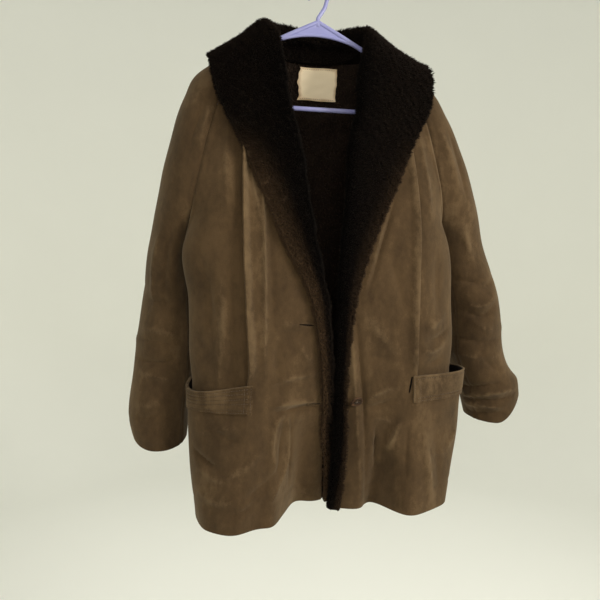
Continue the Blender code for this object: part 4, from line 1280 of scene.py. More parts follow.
    def hang_cuff(self, side: Side, points: Array, heights: Array) -> None:
        """Draws both sides of the cuff up and its outer side in, so that it hangs rounded and aslant.

        Args:
            side: Which sleeve.
            points: Grid of the sleeve, which is moved.
            heights: Heights of its rows.
        """
        facing = self.CUFF_FACING[side]
        out = points[..., 0] * side.sign * math.cos(facing) - points[..., 1] * math.sin(facing)
        low, high = out.min(axis=1, keepdims=True), out.max(axis=1, keepdims=True)
        place = 2 * (out - low) / (high - low) - 1
        outer, inner = (np.clip(share, 0, 1) ** self.CUFF_ROUND[side] for share in (place, -place))
        near = smooth((CUFF_Z[side] + self.CUFF_HANG - heights) / self.CUFF_HANG)[:, None]
        rise = self.CUFF_RISE[side] * outer + self.CUFF_INNER_RISE[side] * inner - self.CUFF_DROP[side]
        points[..., 2] += rise * near
        turned = np.clip((CUFF_Z[side] + self.CUFF_TURNED - heights) / self.CUFF_TURNED, 0, 1)[:, None] ** 2
        points[..., 0] -= side.sign * self.CUFF_PINCH[side] * turned * np.clip(place, self.PINCH_INNER, 1)

    def make_sleeve(self, side: Side) -> None:
        """One raglan sleeve, from the neck over the hanger's arm to the cuff.

        Args:
            side: Which sleeve.
        """
        upper = np.linspace(NECK_Z, UNDERARM_Z, self.rows_raglan)
        heights = np.concatenate([upper, np.linspace(UNDERARM_Z, CUFF_Z[side], self.rows_arm)[1:]])
        mirror = np.array((side.sign, 1.0))
        front_seam = self.form.front(side, upper, np.array((1.0, 2.0)))[:, -1, :2] * mirror
        ends = self.form.back(upper - self.JUST_BELOW, np.array((0.0, 0.5, 1.0)))
        back_seam = ends[:, 0 if side is Side.RIGHT else -1, :2] * mirror
        points = self.form.sleeve(side, heights, self.SLEEVE_SHARE, front_seam, back_seam)
        self.hang_cuff(side, points, heights)
        cloth = Cloth(points, grid_normals(points, points - points.mean(axis=1, keepdims=True)))
        cloth.crease(self.SLEEVE_CREASES[side], self.unevenness)
        cloth.lift(self.CUFF_HEM_SHARE * self.hem_line(heights, CUFF_Z[side])[:, None])
        cloth.roll_edge(0)
        cloth.roll_edge(-1)
        thickness = self.thickness(cloth.points[..., 2].ravel(), CUFF_Z[side])
        piece = cloth.wall(f"sleeve_{side.value}_cloth", thickness, self.suede, self.lining,
                           wear=self.wear(cloth.relief))
        settle(piece, "suede", f"sleeve_{side.value}")

    def build(self) -> None:
        """All suede panels of the body."""
        for side in Side:
            self.make_sleeve(side)
            self.make_front(side)
            self.make_side(side)
        self.make_back()


@dataclass
class Sewing:
    """Rows of visible stitches, each a small spindle of thread."""

    thread: Material
    long: float = 0.0030
    gap: float = 0.0011
    wide: float = 0.0007
    high: float = 0.0005

    def row(self, line: Array, normals: Array) -> tuple[Array, Array]:
        """Stitches along a line on cloth: pointed spindles of six points, one stitch and gap apart.

        Args:
            line: Points on the cloth.
            normals: The cloth's normals there.

        Returns:
            Points and three-cornered faces of the row.
        """
        steps = np.linalg.norm(np.diff(line, axis=0), axis=1)
        path = np.concatenate([[0], np.cumsum(steps)])
        count = max(int(path[-1] / (self.long + self.gap)), 1)
        middle = (np.arange(count) + 0.5) * path[-1] / count
        ends = [np.stack([np.interp(middle + shift, path, line[:, k]) for k in range(3)], axis=-1)
                for shift in (-self.long / 2, self.long / 2)]
        up = unit(np.stack([np.interp(middle, path, normals[:, k]) for k in range(3)], axis=-1))
        along = unit(ends[1] - ends[0])
        across = np.cross(up, along)
        heart = (ends[0] + ends[1]) / 2 + up * self.high * 0.35
        points = np.stack([ends[0], ends[1], heart + across * self.wide / 2, heart - across * self.wide / 2,
                           heart + up * self.high, heart - up * self.high], axis=1)
        corners = np.array([(0, 2, 4), (2, 1, 4), (1, 3, 4), (3, 0, 4),
                            (2, 0, 5), (1, 2, 5), (3, 1, 5), (0, 3, 5)])
        faces = (np.arange(count) * 6)[:, None, None] + corners[None]
        return points.reshape(-1, 3), faces.reshape(-1, 3)

    def make(self, name: str, rows: list[tuple[Array, Array]], slot: str) -> Piece:
        """Several rows joined into one piece."""
        points, faces = join_arrays([self.row(line, normals) for line, normals in rows])
        return settle(add_mesh(name, points, faces, [self.thread]), slot)


@dataclass
class Pockets:
    """Turned bands along the pockets' mouths, with their stitching."""

    body: Body
    sewing: Sewing
    thick: float = 0.0032
    off: float = 0.0005
    start: float = 0.955
    stop: float = 1.90
    rows: int = 36
    columns: int = 84

    # Places of the stitch rows down the band and of those at its end, and the band's length
    ROWS = by_side((0.10, 0.27, 0.45, 0.62, 0.86, 0.95), (0.10, 0.84, 0.94))
    ENDS = (0.030, 0.075)
    LONG = by_side(0.160, 0.210)

    # Paler tone of the band, painted highlight along its top edge and inner end, the dents along the stitches
    # with painted shade in them, and the slit's painted shade
    TONE = by_side(0.0026, 0.0036)
    RUBBED = 0.0018
    RUBBED_DOWN = 0.05
    RUBBED_ALONG = 0.04
    ROW_DENT = 0.030
    END_DENT = 0.014
    DENT_DEEP = 0.0010
    DENT_MOST = 1.2
    DENT_TONE = 1.6
    SLIT_FROM_TO = (0.001, 0.029)
    SLIT_ACROSS = (0.94, 0.90)
    SLIT_OFF = 0.0004
    SLIT_RADIUS = 0.0016

    def make(self, side: Side) -> None:
        """One band: the lower front's own surface moved out, puffed between its stitch rows.

        Args:
            side: Which pocket.
        """
        heights = np.linspace(POCKET_TOP_Z, BAND_BOTTOM_Z, self.rows)
        across = np.linspace(self.start, self.stop, self.columns)
        body = self.body
        points = body.form.front(side, heights, across)
        normals = grid_normals(points, side.outward)
        points = points + normals * body.gape(side, across, heights)[..., None]
        points[..., 2] += body.mouth(side, across, heights)
        points += normals * (body.unevenness * rumple(points))[..., None]
        normals = grid_normals(points, normals)
        down = np.linspace(0, 1, self.rows)[:, None]
        along = np.linspace(0, 1, self.columns)[None]
        dent = np.zeros((self.rows, self.columns))
        for place in self.ROWS[side]:
            dent += np.exp(-((down - place) / self.ROW_DENT) ** 2)
        for place in self.ENDS:
            dent += np.exp(-((along - place) / self.END_DENT) ** 2)
        puff = -self.DENT_DEEP * np.clip(dent, 0, self.DENT_MOST)
        cloth = Cloth(points + normals * (self.off + self.thick), normals)
        cloth.lift(puff)
        # Painted highlight along the top edge and the inner end
        rubbed = self.RUBBED * (np.exp(-down / self.RUBBED_DOWN) + np.exp(-along / self.RUBBED_ALONG))
        # Painted shade in the dents along the stitches
        piece = cloth.wall(f"pocket_band_{side.value}_cloth", self.thick, body.suede, body.suede, 0.0008,
                           wear=body.wear(self.DENT_TONE * puff + self.TONE[side] + rubbed))
        settle(piece, "suede", f"pocket_band_{side.value}")
        lines = []
        for place in self.ROWS[side]:
            row = int(round(place * (self.rows - 1)))
            lines.append((cloth.points[row, 4:-2], cloth.normals[row, 4:-2]))
        for place in self.ENDS:
            column = int(round(place * (self.columns - 1)))
            lines.append((cloth.points[2:-2, column], cloth.normals[2:-2, column]))
        stitches = self.sewing.make(f"pocket_stitches_{side.value}", lines, "suede")

    def make_slit(self) -> None:
        """A dark bead laid on the cloth as painted shade at the slit where the left mouth's inner end is not
        sewn down.
        """
        rows = 9
        top, foot = self.SLIT_FROM_TO
        heights = np.linspace(POCKET_TOP_Z - top, POCKET_TOP_Z - foot, rows)
        place = self.body.form.front(Side.LEFT, heights, np.array(self.SLIT_ACROSS))
        share = np.linspace(0, 1, rows)[:, None]
        path = place[:, 0] * (1 - share) + place[:, 1] * share - (0.0, self.SLIT_OFF, 0.0)
        radius = self.SLIT_RADIUS * np.sin(np.pi * np.linspace(0.12, 0.95, rows)) ** 0.5
        points, faces = sweep(path, radius, 8)
        settle(add_mesh("pocket_slit_left", points, faces, [self.body.lining]), "pile")

    def build(self) -> None:
        """Both bands and the slit's painted shade."""
        for side in Side:
            self.make(side)
        self.make_slit()


@dataclass(frozen=True)
class Tufts:
    """Pile that stands on a skin as three-sided tapering tufts."""

    count: int
    length: float
    wide: float
    lean: float
    seed: int
    curl: float = 0.0008

    def grow(self, points: Array, normals: Array, comb: Array, weight: Array, trim: Array,
             brown: Array) -> dict[str, Array]:
        """Tufts at random places of a grid, as many to each area, leaning along the combing.

        A tip stands off its root by the length along a direction between the normal and the combing,
        shifted by slow waves that draw the tips together in clumps.

        Args:
            points: Grid of the skin.
            normals: Its normals.
            comb: The way the pile lies, along the skin.
            weight: How dense each cell of the grid is.
            trim: Share of the length that is left at each point of the grid.
            brown: How brown the pile is at each point above 0, and its painted shade below 0.

        Returns:
            Points, faces, and the tip, tint and brownness (painted shade below 0) of each point.
        """
        rng = np.random.default_rng(self.seed)
        corner = points[:-1, :-1]
        area = np.linalg.norm(np.cross(points[1:, :-1] - corner, points[:-1, 1:] - corner), axis=-1) * weight
        cell = rng.choice(area.size, self.count, p=(area / area.sum()).ravel())
        row, column = np.divmod(cell, area.shape[1])
        down, along = rng.random((2, self.count, 1))

        def between(grid: Array) -> Array:
            """A grid's values at the chosen places."""
            top = grid[row, column] * (1 - along) + grid[row, column + 1] * along
            foot = grid[row + 1, column] * (1 - along) + grid[row + 1, column + 1] * along
            return top * (1 - down) + foot * down

        root = between(points)
        up = unit(between(normals))
        lay = unit(between(comb))
        waves = np.array([(430.0, 210.0, 160.0), (-190.0, 370.0, 290.0), (250.0, -280.0, 400.0)])
        drift = np.sin(root @ waves.T + np.array((0.3, 1.9, 4.4)))
        lean = self.lean * (0.7 + 0.6 * rng.random((self.count, 1)))
        stand = self.length * (0.84 + 0.28 * rng.random((self.count, 1)) + 0.12 * drift[:, :1])
        stand = stand * between(trim[..., None])
        jitter = rng.normal(0, 0.15, (self.count, 3))
        way = unit(up * np.cos(lean) + lay * np.sin(lean) + jitter)
        tip = root + way * stand + drift * self.curl
        side = unit(np.cross(way, up + 0.3 * jitter + 1e-4))
        other = np.cross(way, side)
        girth = self.wide * (0.7 + 0.6 * rng.random((self.count, 1))) / 2
        base = root - up * 0.0006
        turns = np.radians((90.0, 210.0, 330.0))
        ring = [base + girth * (side * math.cos(turn) + other * math.sin(turn)) for turn in turns]
        vertices = np.stack([*ring, tip], axis=1).reshape(-1, 3)
        corners = np.array([(0, 1, 3), (1, 2, 3), (2, 0, 3), (0, 2, 1)])
        faces = (np.arange(self.count) * 4)[:, None, None] + corners[None]
        tint = np.repeat(rng.random(self.count), 4)
        return {"points": vertices, "faces": faces.reshape(-1, 3), "tint": tint,
                "tip": np.tile((0.0, 0.0, 0.0, 1.0), self.count),
                "brown": np.repeat(between(brown[..., None])[:, 0], 4)}


def make_pile(name: str, grown: list[dict[str, Array]], material: Material) -> Piece:
    """Several growths of tufts as one piece."""
    points, faces = join_arrays([(one["points"], one["faces"]) for one in grown])
    values = {key: np.concatenate([one[key] for one in grown]) for key in ("tip", "tint", "brown")}
    return settle(add_mesh(name, points, faces, [material], **values), "pile")


@dataclass
class Collar:
    """Long pile collar: it falls on the shoulders, rolls at the neck and edges both fronts to the hem."""

    form: CoatForm
    skin: Material
    pile: Material
    skin_thick: float = 0.0050
    lift: float = 0.0066
    drop: float = 0.0086
    hem_return: float = 0.016
    hem_overlap: float = 0.007
    lapel_return: float = 0.040
    reach_most: float = 0.030
    rows: int = 140
    fall_columns: int = 26
    roll_columns: int = 12
    return_columns: int = 9

    # Brown along the outer edge (partly painted bounce light), painted shade along the roll, seeds, trimming
    # at the hem and combing
    BROWN_MOST = by_side(1.0, 0.38)
    BROWN_WIDE = by_side(0.032, 0.020)
    FACE_SEED = by_side(11, 12)
    RIM_SEED = by_side(21, 22)
    TRIM_ROWS = 9
    TRIM_LEAST = 0.35
    OVERLAP_FROM_Z, OVERLAP_FADE = -0.76, 0.08
    BROWN_FROM_Z, BROWN_FADE = -0.23, 0.13
    ROLL_FROM_Z, ROLL_FADE = -0.10, 0.05
    ROLL_WIDE = 0.8
    HALF_GAP = 0.0002
    RUMPLE, RUMPLE_SCALE = 0.0012, 1.7
    COMB_ACROSS, COMB_ALONG, COMB_DOWN = 0.7, 0.5, 0.35
    RETURN_WEIGHT = 0.6

    def lapel(self, side: Side) -> list[Array]:
        """Corners of the section along the front: outer edge, both ends of the roll, inner edge."""
        heights = np.array(LAPEL_HEIGHTS)
        points = self.form.front(side, heights, np.array((0.0, 1 / 8)))
        edge = points[:, 0, :2] * (side.sign, 1)
        along = unit(points[:, 1, :2] * (side.sign, 1) - edge)
        out = np.stack([along[:, 1], -along[:, 0]], axis=-1)
        width = spline(LAPEL_WIDTHS[side][:, 0], LAPEL_WIDTHS[side][:, 1], heights)[:, None]
        reach = np.interp(heights, (HEM_Z, UNDERARM_Z), (self.hem_return, self.lapel_return))[:, None]
        corners = (edge + along * width + out * self.lift, edge + out * self.lift,
                   edge - out * self.drop, edge + along * reach - out * self.drop)
        return [np.concatenate([corner, heights[:, None]], axis=1) for corner in corners]

    def neck(self, side: Side) -> list[Array]:
        """The same corners round the neck, with the roll opened enough for the pile."""
        outer, roll, inner = np.split(NECK_ROWS[side], 3, axis=1)
        to_outer = unit(outer - roll)
        to_inner = unit(inner - roll)
        spread = np.linalg.norm(to_outer - to_inner, axis=1, keepdims=True)
        reach = np.minimum((self.lift + self.drop) / spread, self.reach_most)
        return [outer, roll + to_outer * reach, roll + to_inner * reach, inner]

    def grid(self, side: Side) -> Array:
        """Half of the collar as its middle surface: a straight fall, a cubic roll and a straight return.

        Args:
            side: Which half.

        Returns:
            Points, from the hem to the middle of the back by outer edge to inner edge by 3.
        """
        corners = [np.concatenate(pair) for pair in zip(self.lapel(side), self.neck(side))]
        middle = (corners[1] + corners[2]) / 2
        path = np.concatenate([[0], np.cumsum(np.linalg.norm(np.diff(middle, axis=0), axis=1))])
        at = np.linspace(0, path[-1], self.rows)
        outer, start, stop, inner = (spline(path, corner, at)[:, None] for corner in corners)
        fall = outer + (start - outer) * np.linspace(0, 1, self.fall_columns)[None, :, None]
        back = stop + (inner - stop) * np.linspace(0, 1, self.return_columns)[None, :, None]
        turn = np.linspace(0, 1, self.roll_columns + 2)[None, 1:-1, None]
        handle = 2 / 3 * np.linalg.norm(start - stop, axis=2, keepdims=True)
        leave = start + unit(start - outer) * handle
        arrive = stop + unit(stop - inner) * handle
        roll = ((1 - turn) ** 3 * start + 3 * turn * (1 - turn) ** 2 * leave
                + 3 * turn ** 2 * (1 - turn) * arrive + turn ** 3 * stop)
        points = np.concatenate([fall, roll, back], axis=1) * (side.sign, 1, 1)
        if side is Side.RIGHT:
            low = smooth((self.OVERLAP_FROM_Z - points[..., 2]) / self.OVERLAP_FADE)
            points[..., 0] += self.hem_overlap * low
        points[-1, :, 0] = side.sign * self.HALF_GAP
        return points

    def make(self, side: Side) -> None:
        """One half: a thin skin on the middle surface and pile on its outer face and along its free edge.

        Args:
            side: Which half.
        """
        points = self.grid(side)
        turned = self.fall_columns + self.roll_columns + 1
        normals = grid_normals(points, points - points[:, turned][:, None])
        points = points + normals * (self.RUMPLE * rumple(points * self.RUMPLE_SCALE))[..., None]
        outer = points + normals * self.skin_thick / 2
        inward = np.linalg.norm(points - points[:, :1], axis=-1)
        # Brown along the outer edge of the falls, partly painted bounce light
        falls = self.BROWN_MOST[side] * smooth((self.BROWN_FROM_Z - points[..., 2]) / self.BROWN_FADE)
        brown = falls * np.exp(-(inward / self.BROWN_WIDE[side]) ** 2)
        columns = np.arange(points.shape[1])
        from_roll = (columns - self.fall_columns - self.roll_columns / 2) / self.roll_columns
        # Painted shade along the roll below the neck
        opened = np.exp(-(from_roll / self.ROLL_WIDE) ** 2)
        brown = brown - opened * smooth((self.ROLL_FROM_Z - points[..., 2]) / self.ROLL_FADE)
        name = f"collar_{side.value}"
        piece = Cloth(outer, normals).wall(f"{name}_skin", self.skin_thick, self.skin, self.skin, 0.0,
                                           brown=brown)
        settle(piece, "pile", name)
        across = unit(np.gradient(points, axis=1))
        along = unit(np.gradient(points, axis=0))
        outward = np.where(columns < self.fall_columns + self.roll_columns + 3, -1.0, 1.0)[None, :, None]
        comb = unit(across * outward * self.COMB_ACROSS - along * self.COMB_ALONG
                    - np.array((0.0, 0.0, self.COMB_DOWN)))
        weight = np.ones((points.shape[0] - 1, points.shape[1] - 1))
        weight[:, -self.return_columns:] = self.RETURN_WEIGHT
        face = Tufts(count=33500, length=0.0072, wide=0.0025, lean=0.55, seed=self.FACE_SEED[side])
        rows = np.arange(points.shape[0])[:, None]
        trim = self.TRIM_LEAST + (1 - self.TRIM_LEAST) * smooth(rows / self.TRIM_ROWS)
        trim = np.broadcast_to(trim, points.shape[:2])
        grown = [face.grow(outer, normals, comb, weight, trim, brown)]
        edge = (points - normals * self.skin_thick / 2)[:, :3]
        outward_edge = unit(points[:, 0] - points[:, 1])[:, None] + 0 * edge
        rim = Tufts(count=6500, length=0.0060, wide=0.0019, lean=1.10, seed=self.RIM_SEED[side])
        under = -normals[:, :3] * 0.5 + outward_edge
        grown.append(rim.grow(edge, unit(under), outward_edge, np.ones((len(edge) - 1, 2)),
                              trim[:, :3], brown[:, :3]))
        fur = make_pile(f"{name}_pile", grown, self.pile)

    def build(self) -> None:
        """Both halves."""
        for side in Side:
            self.make(side)


@dataclass
class Lining:
    """Pile lining of the back and the plain label sewn to it."""

    body: Body
    sewing: Sewing
    skin: Material
    pile: Material
    label_cloth: Material
    off: float = 0.0009
    skin_thick: float = 0.0016
    deep: float = 0.0050
    label_x: float = 0.013
    label_wide: float = 0.072
    label_top: float = -0.126
    label_bottom: float = -0.182
    label_thick: float = 0.0009

    # Bare strip at the hem, cleared pile under the label, and how wide the seen part is
    HEM_CLEAR = 0.012
    LABEL_MARGIN_X, LABEL_MARGIN_Z = 0.003, 0.004
    LABEL_OFF = 0.0004
    SEEN_WIDE = 0.13

    def build(self) -> None:
        """The lining's skin and pile, then the label on it."""
        back = self.body.back
        kept, normals = back.points[::2, 5:-5], back.normals[::2, 5:-5]
        outer = kept - normals * (self.body.thickness(kept[..., 2], HEM_Z) + self.off)[..., None]
        rows = outer[:, 0, 2] > HEM_Z + self.HEM_CLEAR
        outer, normals = outer[rows], normals[rows]
        piece = Cloth(outer, normals).wall("lining_back_skin", self.skin_thick, self.skin, self.skin, 0.0)
        settle(piece, "pile", "lining_back")
        face = outer - normals * self.skin_thick
        comb = np.broadcast_to((0.0, 0.0, -1.0), face.shape)
        middle = (face[1:, 1:] + face[:-1, :-1]) / 2
        x, z = middle[..., 0], middle[..., 2]
        under_label = ((np.abs(x - self.label_x) < self.label_wide / 2 - self.LABEL_MARGIN_X)
                       & (z < self.label_top - self.LABEL_MARGIN_Z)
                       & (z > self.label_bottom + self.LABEL_MARGIN_Z))
        seen = 0.35 + 0.65 * np.exp(-(x / self.SEEN_WIDE) ** 4)
        weight = np.where(under_label, 0.0, seen)
        plain = np.ones(face.shape[:2])
        tufts = Tufts(count=17000, length=0.0050, wide=0.0040, lean=0.95, seed=31)
        grown = tufts.grow(face, -normals, comb, weight, plain, 0 * plain)
        fur = make_pile("lining_back_pile", [grown], self.pile)
        self.make_label(Cloth(outer - normals * (self.deep + self.LABEL_OFF), -normals))

    def make_label(self, face: Cloth) -> None:
        """Plain label on the pile: a rectangle with soft, slightly puckered sides.

        Args:
            face: Surface of the pile.
        """
        down, along = np.meshgrid(np.linspace(0, 1, 40), np.linspace(0, 1, 48), indexing="ij")
        ripple = 0.0010 * np.sin(9.0 * down + 1.0) + 0.0006 * np.sin(23.0 * down + 0.5)
        slack = np.where(along < 0.5, 1.6, 0.6)
        x = self.label_x + (along - 0.5) * self.label_wide + ripple * (1 - 2 * along) * slack
        sag = 0.0010 * np.sin(7.0 * along) * (down - 0.5)
        z = self.label_top + (self.label_bottom - self.label_top) * down + sag
        points, normals = face.at_xz(x.ravel(), z.ravel())
        shape = down.shape + (3,)
        points, normals = points.reshape(shape), normals.reshape(shape)
        edge = np.minimum(np.minimum(along, 1 - along) * self.label_wide,
                          np.minimum(down, 1 - down) * (self.label_top - self.label_bottom))
        cloth = Cloth(points, normals)
        puff = 0.0007 * smooth(edge / 0.006) + 0.0004 * np.sin(11 * along + 5 * down) * np.exp(-along / 0.12)
        puff = puff + 0.0005 * np.sin(19 * down + 4 * along) * np.sin(7 * along + 1)
        cloth.lift(0.0010 + puff)
        cloth.normals = grid_normals(cloth.points, cloth.normals)
        # Soiling, more towards the label's edges
        wear = 0.5 - smooth(edge / 0.008) * 0.8
        piece = cloth.wall("label_cloth", self.label_thick, self.label_cloth, self.label_cloth, 0.0003,
                           wear=wear)
        settle(piece, "label_cloth", "label")
        rows = [(cloth.points[row, 2:-2], cloth.normals[row, 2:-2]) for row in (2, -3)]
        stitches = self.sewing.make("label_stitches", rows, "label_cloth")


@dataclass
class Fastenings:
    """The button on the left front and the two bound buttonholes on the right."""

    body: Body
    horn: Material
    thread: Material
    dark: Material
    button_x: float = 0.0405
    button_z: float = -0.711
    radius: float = 0.0110
    thick: float = 0.0045
    lean: float = 0.70
    hole_radius: float = 0.0011
    hole_place: float = 0.0021
    thread_radius: float = 0.00055
    shank_in: float = 0.0006

    # Ends of the holes in parts of the thickness, the button's tilt, its thread, and the buttonholes
    BORED = (-0.5, 1.6)
    TIP_ASIDE, TIP_DOWN = 0.45, 0.9
    RIM_GAP = 0.0005
    THREAD_LEVEL, THREAD_BOW, THREAD_DIP = 0.60, 0.0010, 0.0016
    SHANK_RADIUS, SHANK_FLARE = 0.0016, 0.0007
    LIP_WIDE, LIP_HIGH, LIP_AWAY = 0.0012, 0.0009, 0.0011
    PARTED_LEAST, PARTED_MORE = 0.0004, 0.0010
    HOLES = (((-0.0610, -0.5775), (-0.0345, -0.5805)), ((-0.0450, -0.7135), (-0.0185, -0.7165)))

    # Half section of the button from the front's middle to the back's, in parts of radius and thickness
    PROFILE = np.array([
        (0.00, 0.52), (0.30, 0.52), (0.50, 0.54), (0.62, 0.62), (0.72, 0.86), (0.80, 0.98), (0.88, 1.00),
        (0.95, 0.92), (0.99, 0.74), (1.00, 0.58), (0.98, 0.38), (0.90, 0.16), (0.76, 0.04), (0.55, 0.00),
        (0.00, 0.00),
    ])

    def seat(self) -> tuple[Array, Array]:
        """The place on the front where the button is sewn, and its normal."""
        place, facing = self.body.lower[Side.LEFT].at_xz(*np.array([(self.button_x,), (self.button_z,)]))
        return place[0], facing[0]

    def frame(self) -> tuple[Array, Array, Array, Array]:
        """The button's centre and its axes: it hangs on its thread with its face tipped down and aside."""
        place, facing = self.seat()
        aside = unit(np.cross(np.array((0.0, 0.0, 1.0)), facing))
        upward = np.cross(facing, aside)
        drop = unit(self.TIP_ASIDE * np.sign(aside[0]) * aside - self.TIP_DOWN * upward)
        axis = unit(facing * math.cos(self.lean) + drop * math.sin(self.lean))
        first = unit(np.cross(axis, drop))
        rim = self.PROFILE[:, 0] * self.radius * math.sin(self.lean)
        rim = (rim - self.PROFILE[:, 1] * self.thick * math.cos(self.lean)).max()
        centre = place + facing * (rim + self.RIM_GAP)
        return centre, axis, first, np.cross(axis, first)

    def make_button(self) -> None:
        """A turned button: its profile carried round its axis, with four bored holes and thread in them."""
        centre, axis, first, second = self.frame()
        sides = 56
        rims = self.PROFILE[1:-1]
        rings = (centre + rims[:, :1, None] * self.radius * circle(first, second, sides)[None]
                 + rims[:, 1:, None] * self.thick * axis)
        caps = centre + self.PROFILE[[0, -1], 1][:, None] * self.thick * axis
        points = np.concatenate([rings.reshape(-1, 3), caps])
        body = tube_faces(len(rims), sides)
        ring = np.arange(sides)
        top = fan(ring, len(points) - 2)[:, [1, 0, 2]]
        foot = fan(ring + (len(rims) - 1) * sides, len(points) - 1)
        faces = np.concatenate([body[:, [0, 1, 2]], body[:, [0, 2, 3]], top, foot])
        piece = add_mesh("button_turned", points, faces[:, ::-1], [self.horn])
        self.bore(piece, centre, axis, first, second)
        settle(piece, "button_horn", "button")
        self.make_thread(centre, axis, first, second)

    def bore(self, piece: Piece, centre: Array, axis: Array, first: Array, second: Array) -> None:
        """Cuts the four holes with a joined cutter, and keeps the cut mesh."""
        rods = []
        sides = 16
        ring = self.hole_radius * circle(first, second, sides)
        around = tube_faces(2, sides)
        low = fan(np.arange(sides), 2 * sides)[:, [1, 0, 2]]
        high = fan(np.arange(sides) + sides, 2 * sides + 1)
        faces = np.concatenate([around[:, [0, 2, 1]], around[:, [0, 3, 2]], low, high])
        for u, v in ((1, 1), (1, -1), (-1, 1), (-1, -1)):
            middle = centre + self.hole_place * (u * first + v * second)
            ends = [middle + ring + axis * self.thick * level for level in self.BORED]
            caps = np.stack([middle + axis * self.thick * level for level in self.BORED])
            rods.append((np.concatenate([*ends, caps]), faces))
        cutter = add_mesh("button_cutter", *join_arrays(rods), [self.horn])
        cut = piece.modifiers.new("holes", "BOOLEAN")
        cut.operation = "DIFFERENCE"
        cut.object = cutter
        graph = bpy.context.evaluated_depsgraph_get()
        bored = bpy.data.meshes.new_from_object(piece.evaluated_get(graph))
        piece.modifiers.clear()
        piece.data = bored
        bpy.data.objects.remove(cutter)
        bored.set_sharp_from_angle(angle=math.radians(40))

    def make_thread(self, centre: Array, axis: Array, first: Array, second: Array) -> None:
        """Two crossed loops of thread through the holes and a wound shank behind the button."""
        share = np.linspace(0, 1, 15)
        parts = []
        for u, v in ((1, 1), (1, -1)):
            reach = self.hole_place * (u * first + v * second)
            bow = (self.THREAD_LEVEL * self.thick + self.THREAD_BOW * np.sin(np.pi * share)
                   - self.THREAD_DIP * (2 * share - 1) ** 8)
            path = centre + reach * (1 - 2 * share)[:, None] + axis * bow[:, None]
            aside = unit(np.cross(axis, reach))
            loop = self.thread_radius * circle(aside, axis, 8)
            parts.append(((path[:, None] + loop[None]).reshape(-1, 3), tube_faces(15, 8)))
        place, facing = self.seat()
        down = place - facing * self.shank_in
        path = centre + axis * self.shank_in + (down - centre - axis * self.shank_in) * share[:, None]
        thick = self.SHANK_RADIUS + self.SHANK_FLARE * (2 * share - 1) ** 2
        loop = thick[:, None, None] * circle(first, second, 8)[None]
        parts.append(((path[:, None] + loop).reshape(-1, 3), tube_faces(15, 8)))
        settle(add_mesh("button_thread", *join_arrays(parts), [self.thread]), "button_horn")

    def make_buttonholes(self) -> None:
        """Bound buttonholes: two rolled lips of suede that part over a dark slit."""
        lips = []
        slits = []
        share = np.linspace(0, 1, 28)
        ring = np.linspace(0, 2 * math.pi, 10, endpoint=False)
        for start, end in self.HOLES:
            x = start[0] + (end[0] - start[0]) * share
            z = start[1] + (end[1] - start[1]) * share
            cloth = self.body.fronts[Side.RIGHT] if start[1] > POCKET_TOP_Z else self.body.lower[Side.RIGHT]
            line, normals = cloth.at_xz(x, z)
            along = unit(np.gradient(line, axis=0))
            across = unit(np.cross(normals, along))
            body = np.sin(np.pi * np.clip(share, 0.0, 1.0)) ** 0.25
            part = self.PARTED_LEAST + self.PARTED_MORE * np.sin(np.pi * share)
            for sign in (-1.0, 1.0):
                middle = line + across * (sign * (part + self.LIP_AWAY))[:, None] + normals * 0.0003
                loop = (across[:, None] * np.cos(ring)[None, :, None] * self.LIP_WIDE
                        + normals[:, None] * np.sin(ring)[None, :, None] * self.LIP_HIGH)
                lip = middle[:, None] + loop * body[:, None, None]
                lips.append((lip.reshape(-1, 3), tube_faces(28, 10)))
            half = across * ((0.0005 + part) * body)[:, None]
            slit = np.stack([line + half, line + normals * 0.0004, line - half], axis=1)
            slit = slit + normals[:, None] * 0.0002
            slits.append((slit.reshape(-1, 3), quads(np.arange(84).reshape(28, 3))))
        points, faces = join_arrays(lips)
        settle(add_mesh("buttonhole_lips", points, faces[:, ::-1], [self.body.suede],
                        wear=np.full(len(points), 0.35)), "suede")
        points, faces = join_arrays(slits)
        settle(add_mesh("buttonhole_slits", points, faces, [self.dark]), "pile")

    def build(self) -> None:
        """Button and buttonholes."""
        self.make_button()
        self.make_buttonholes()


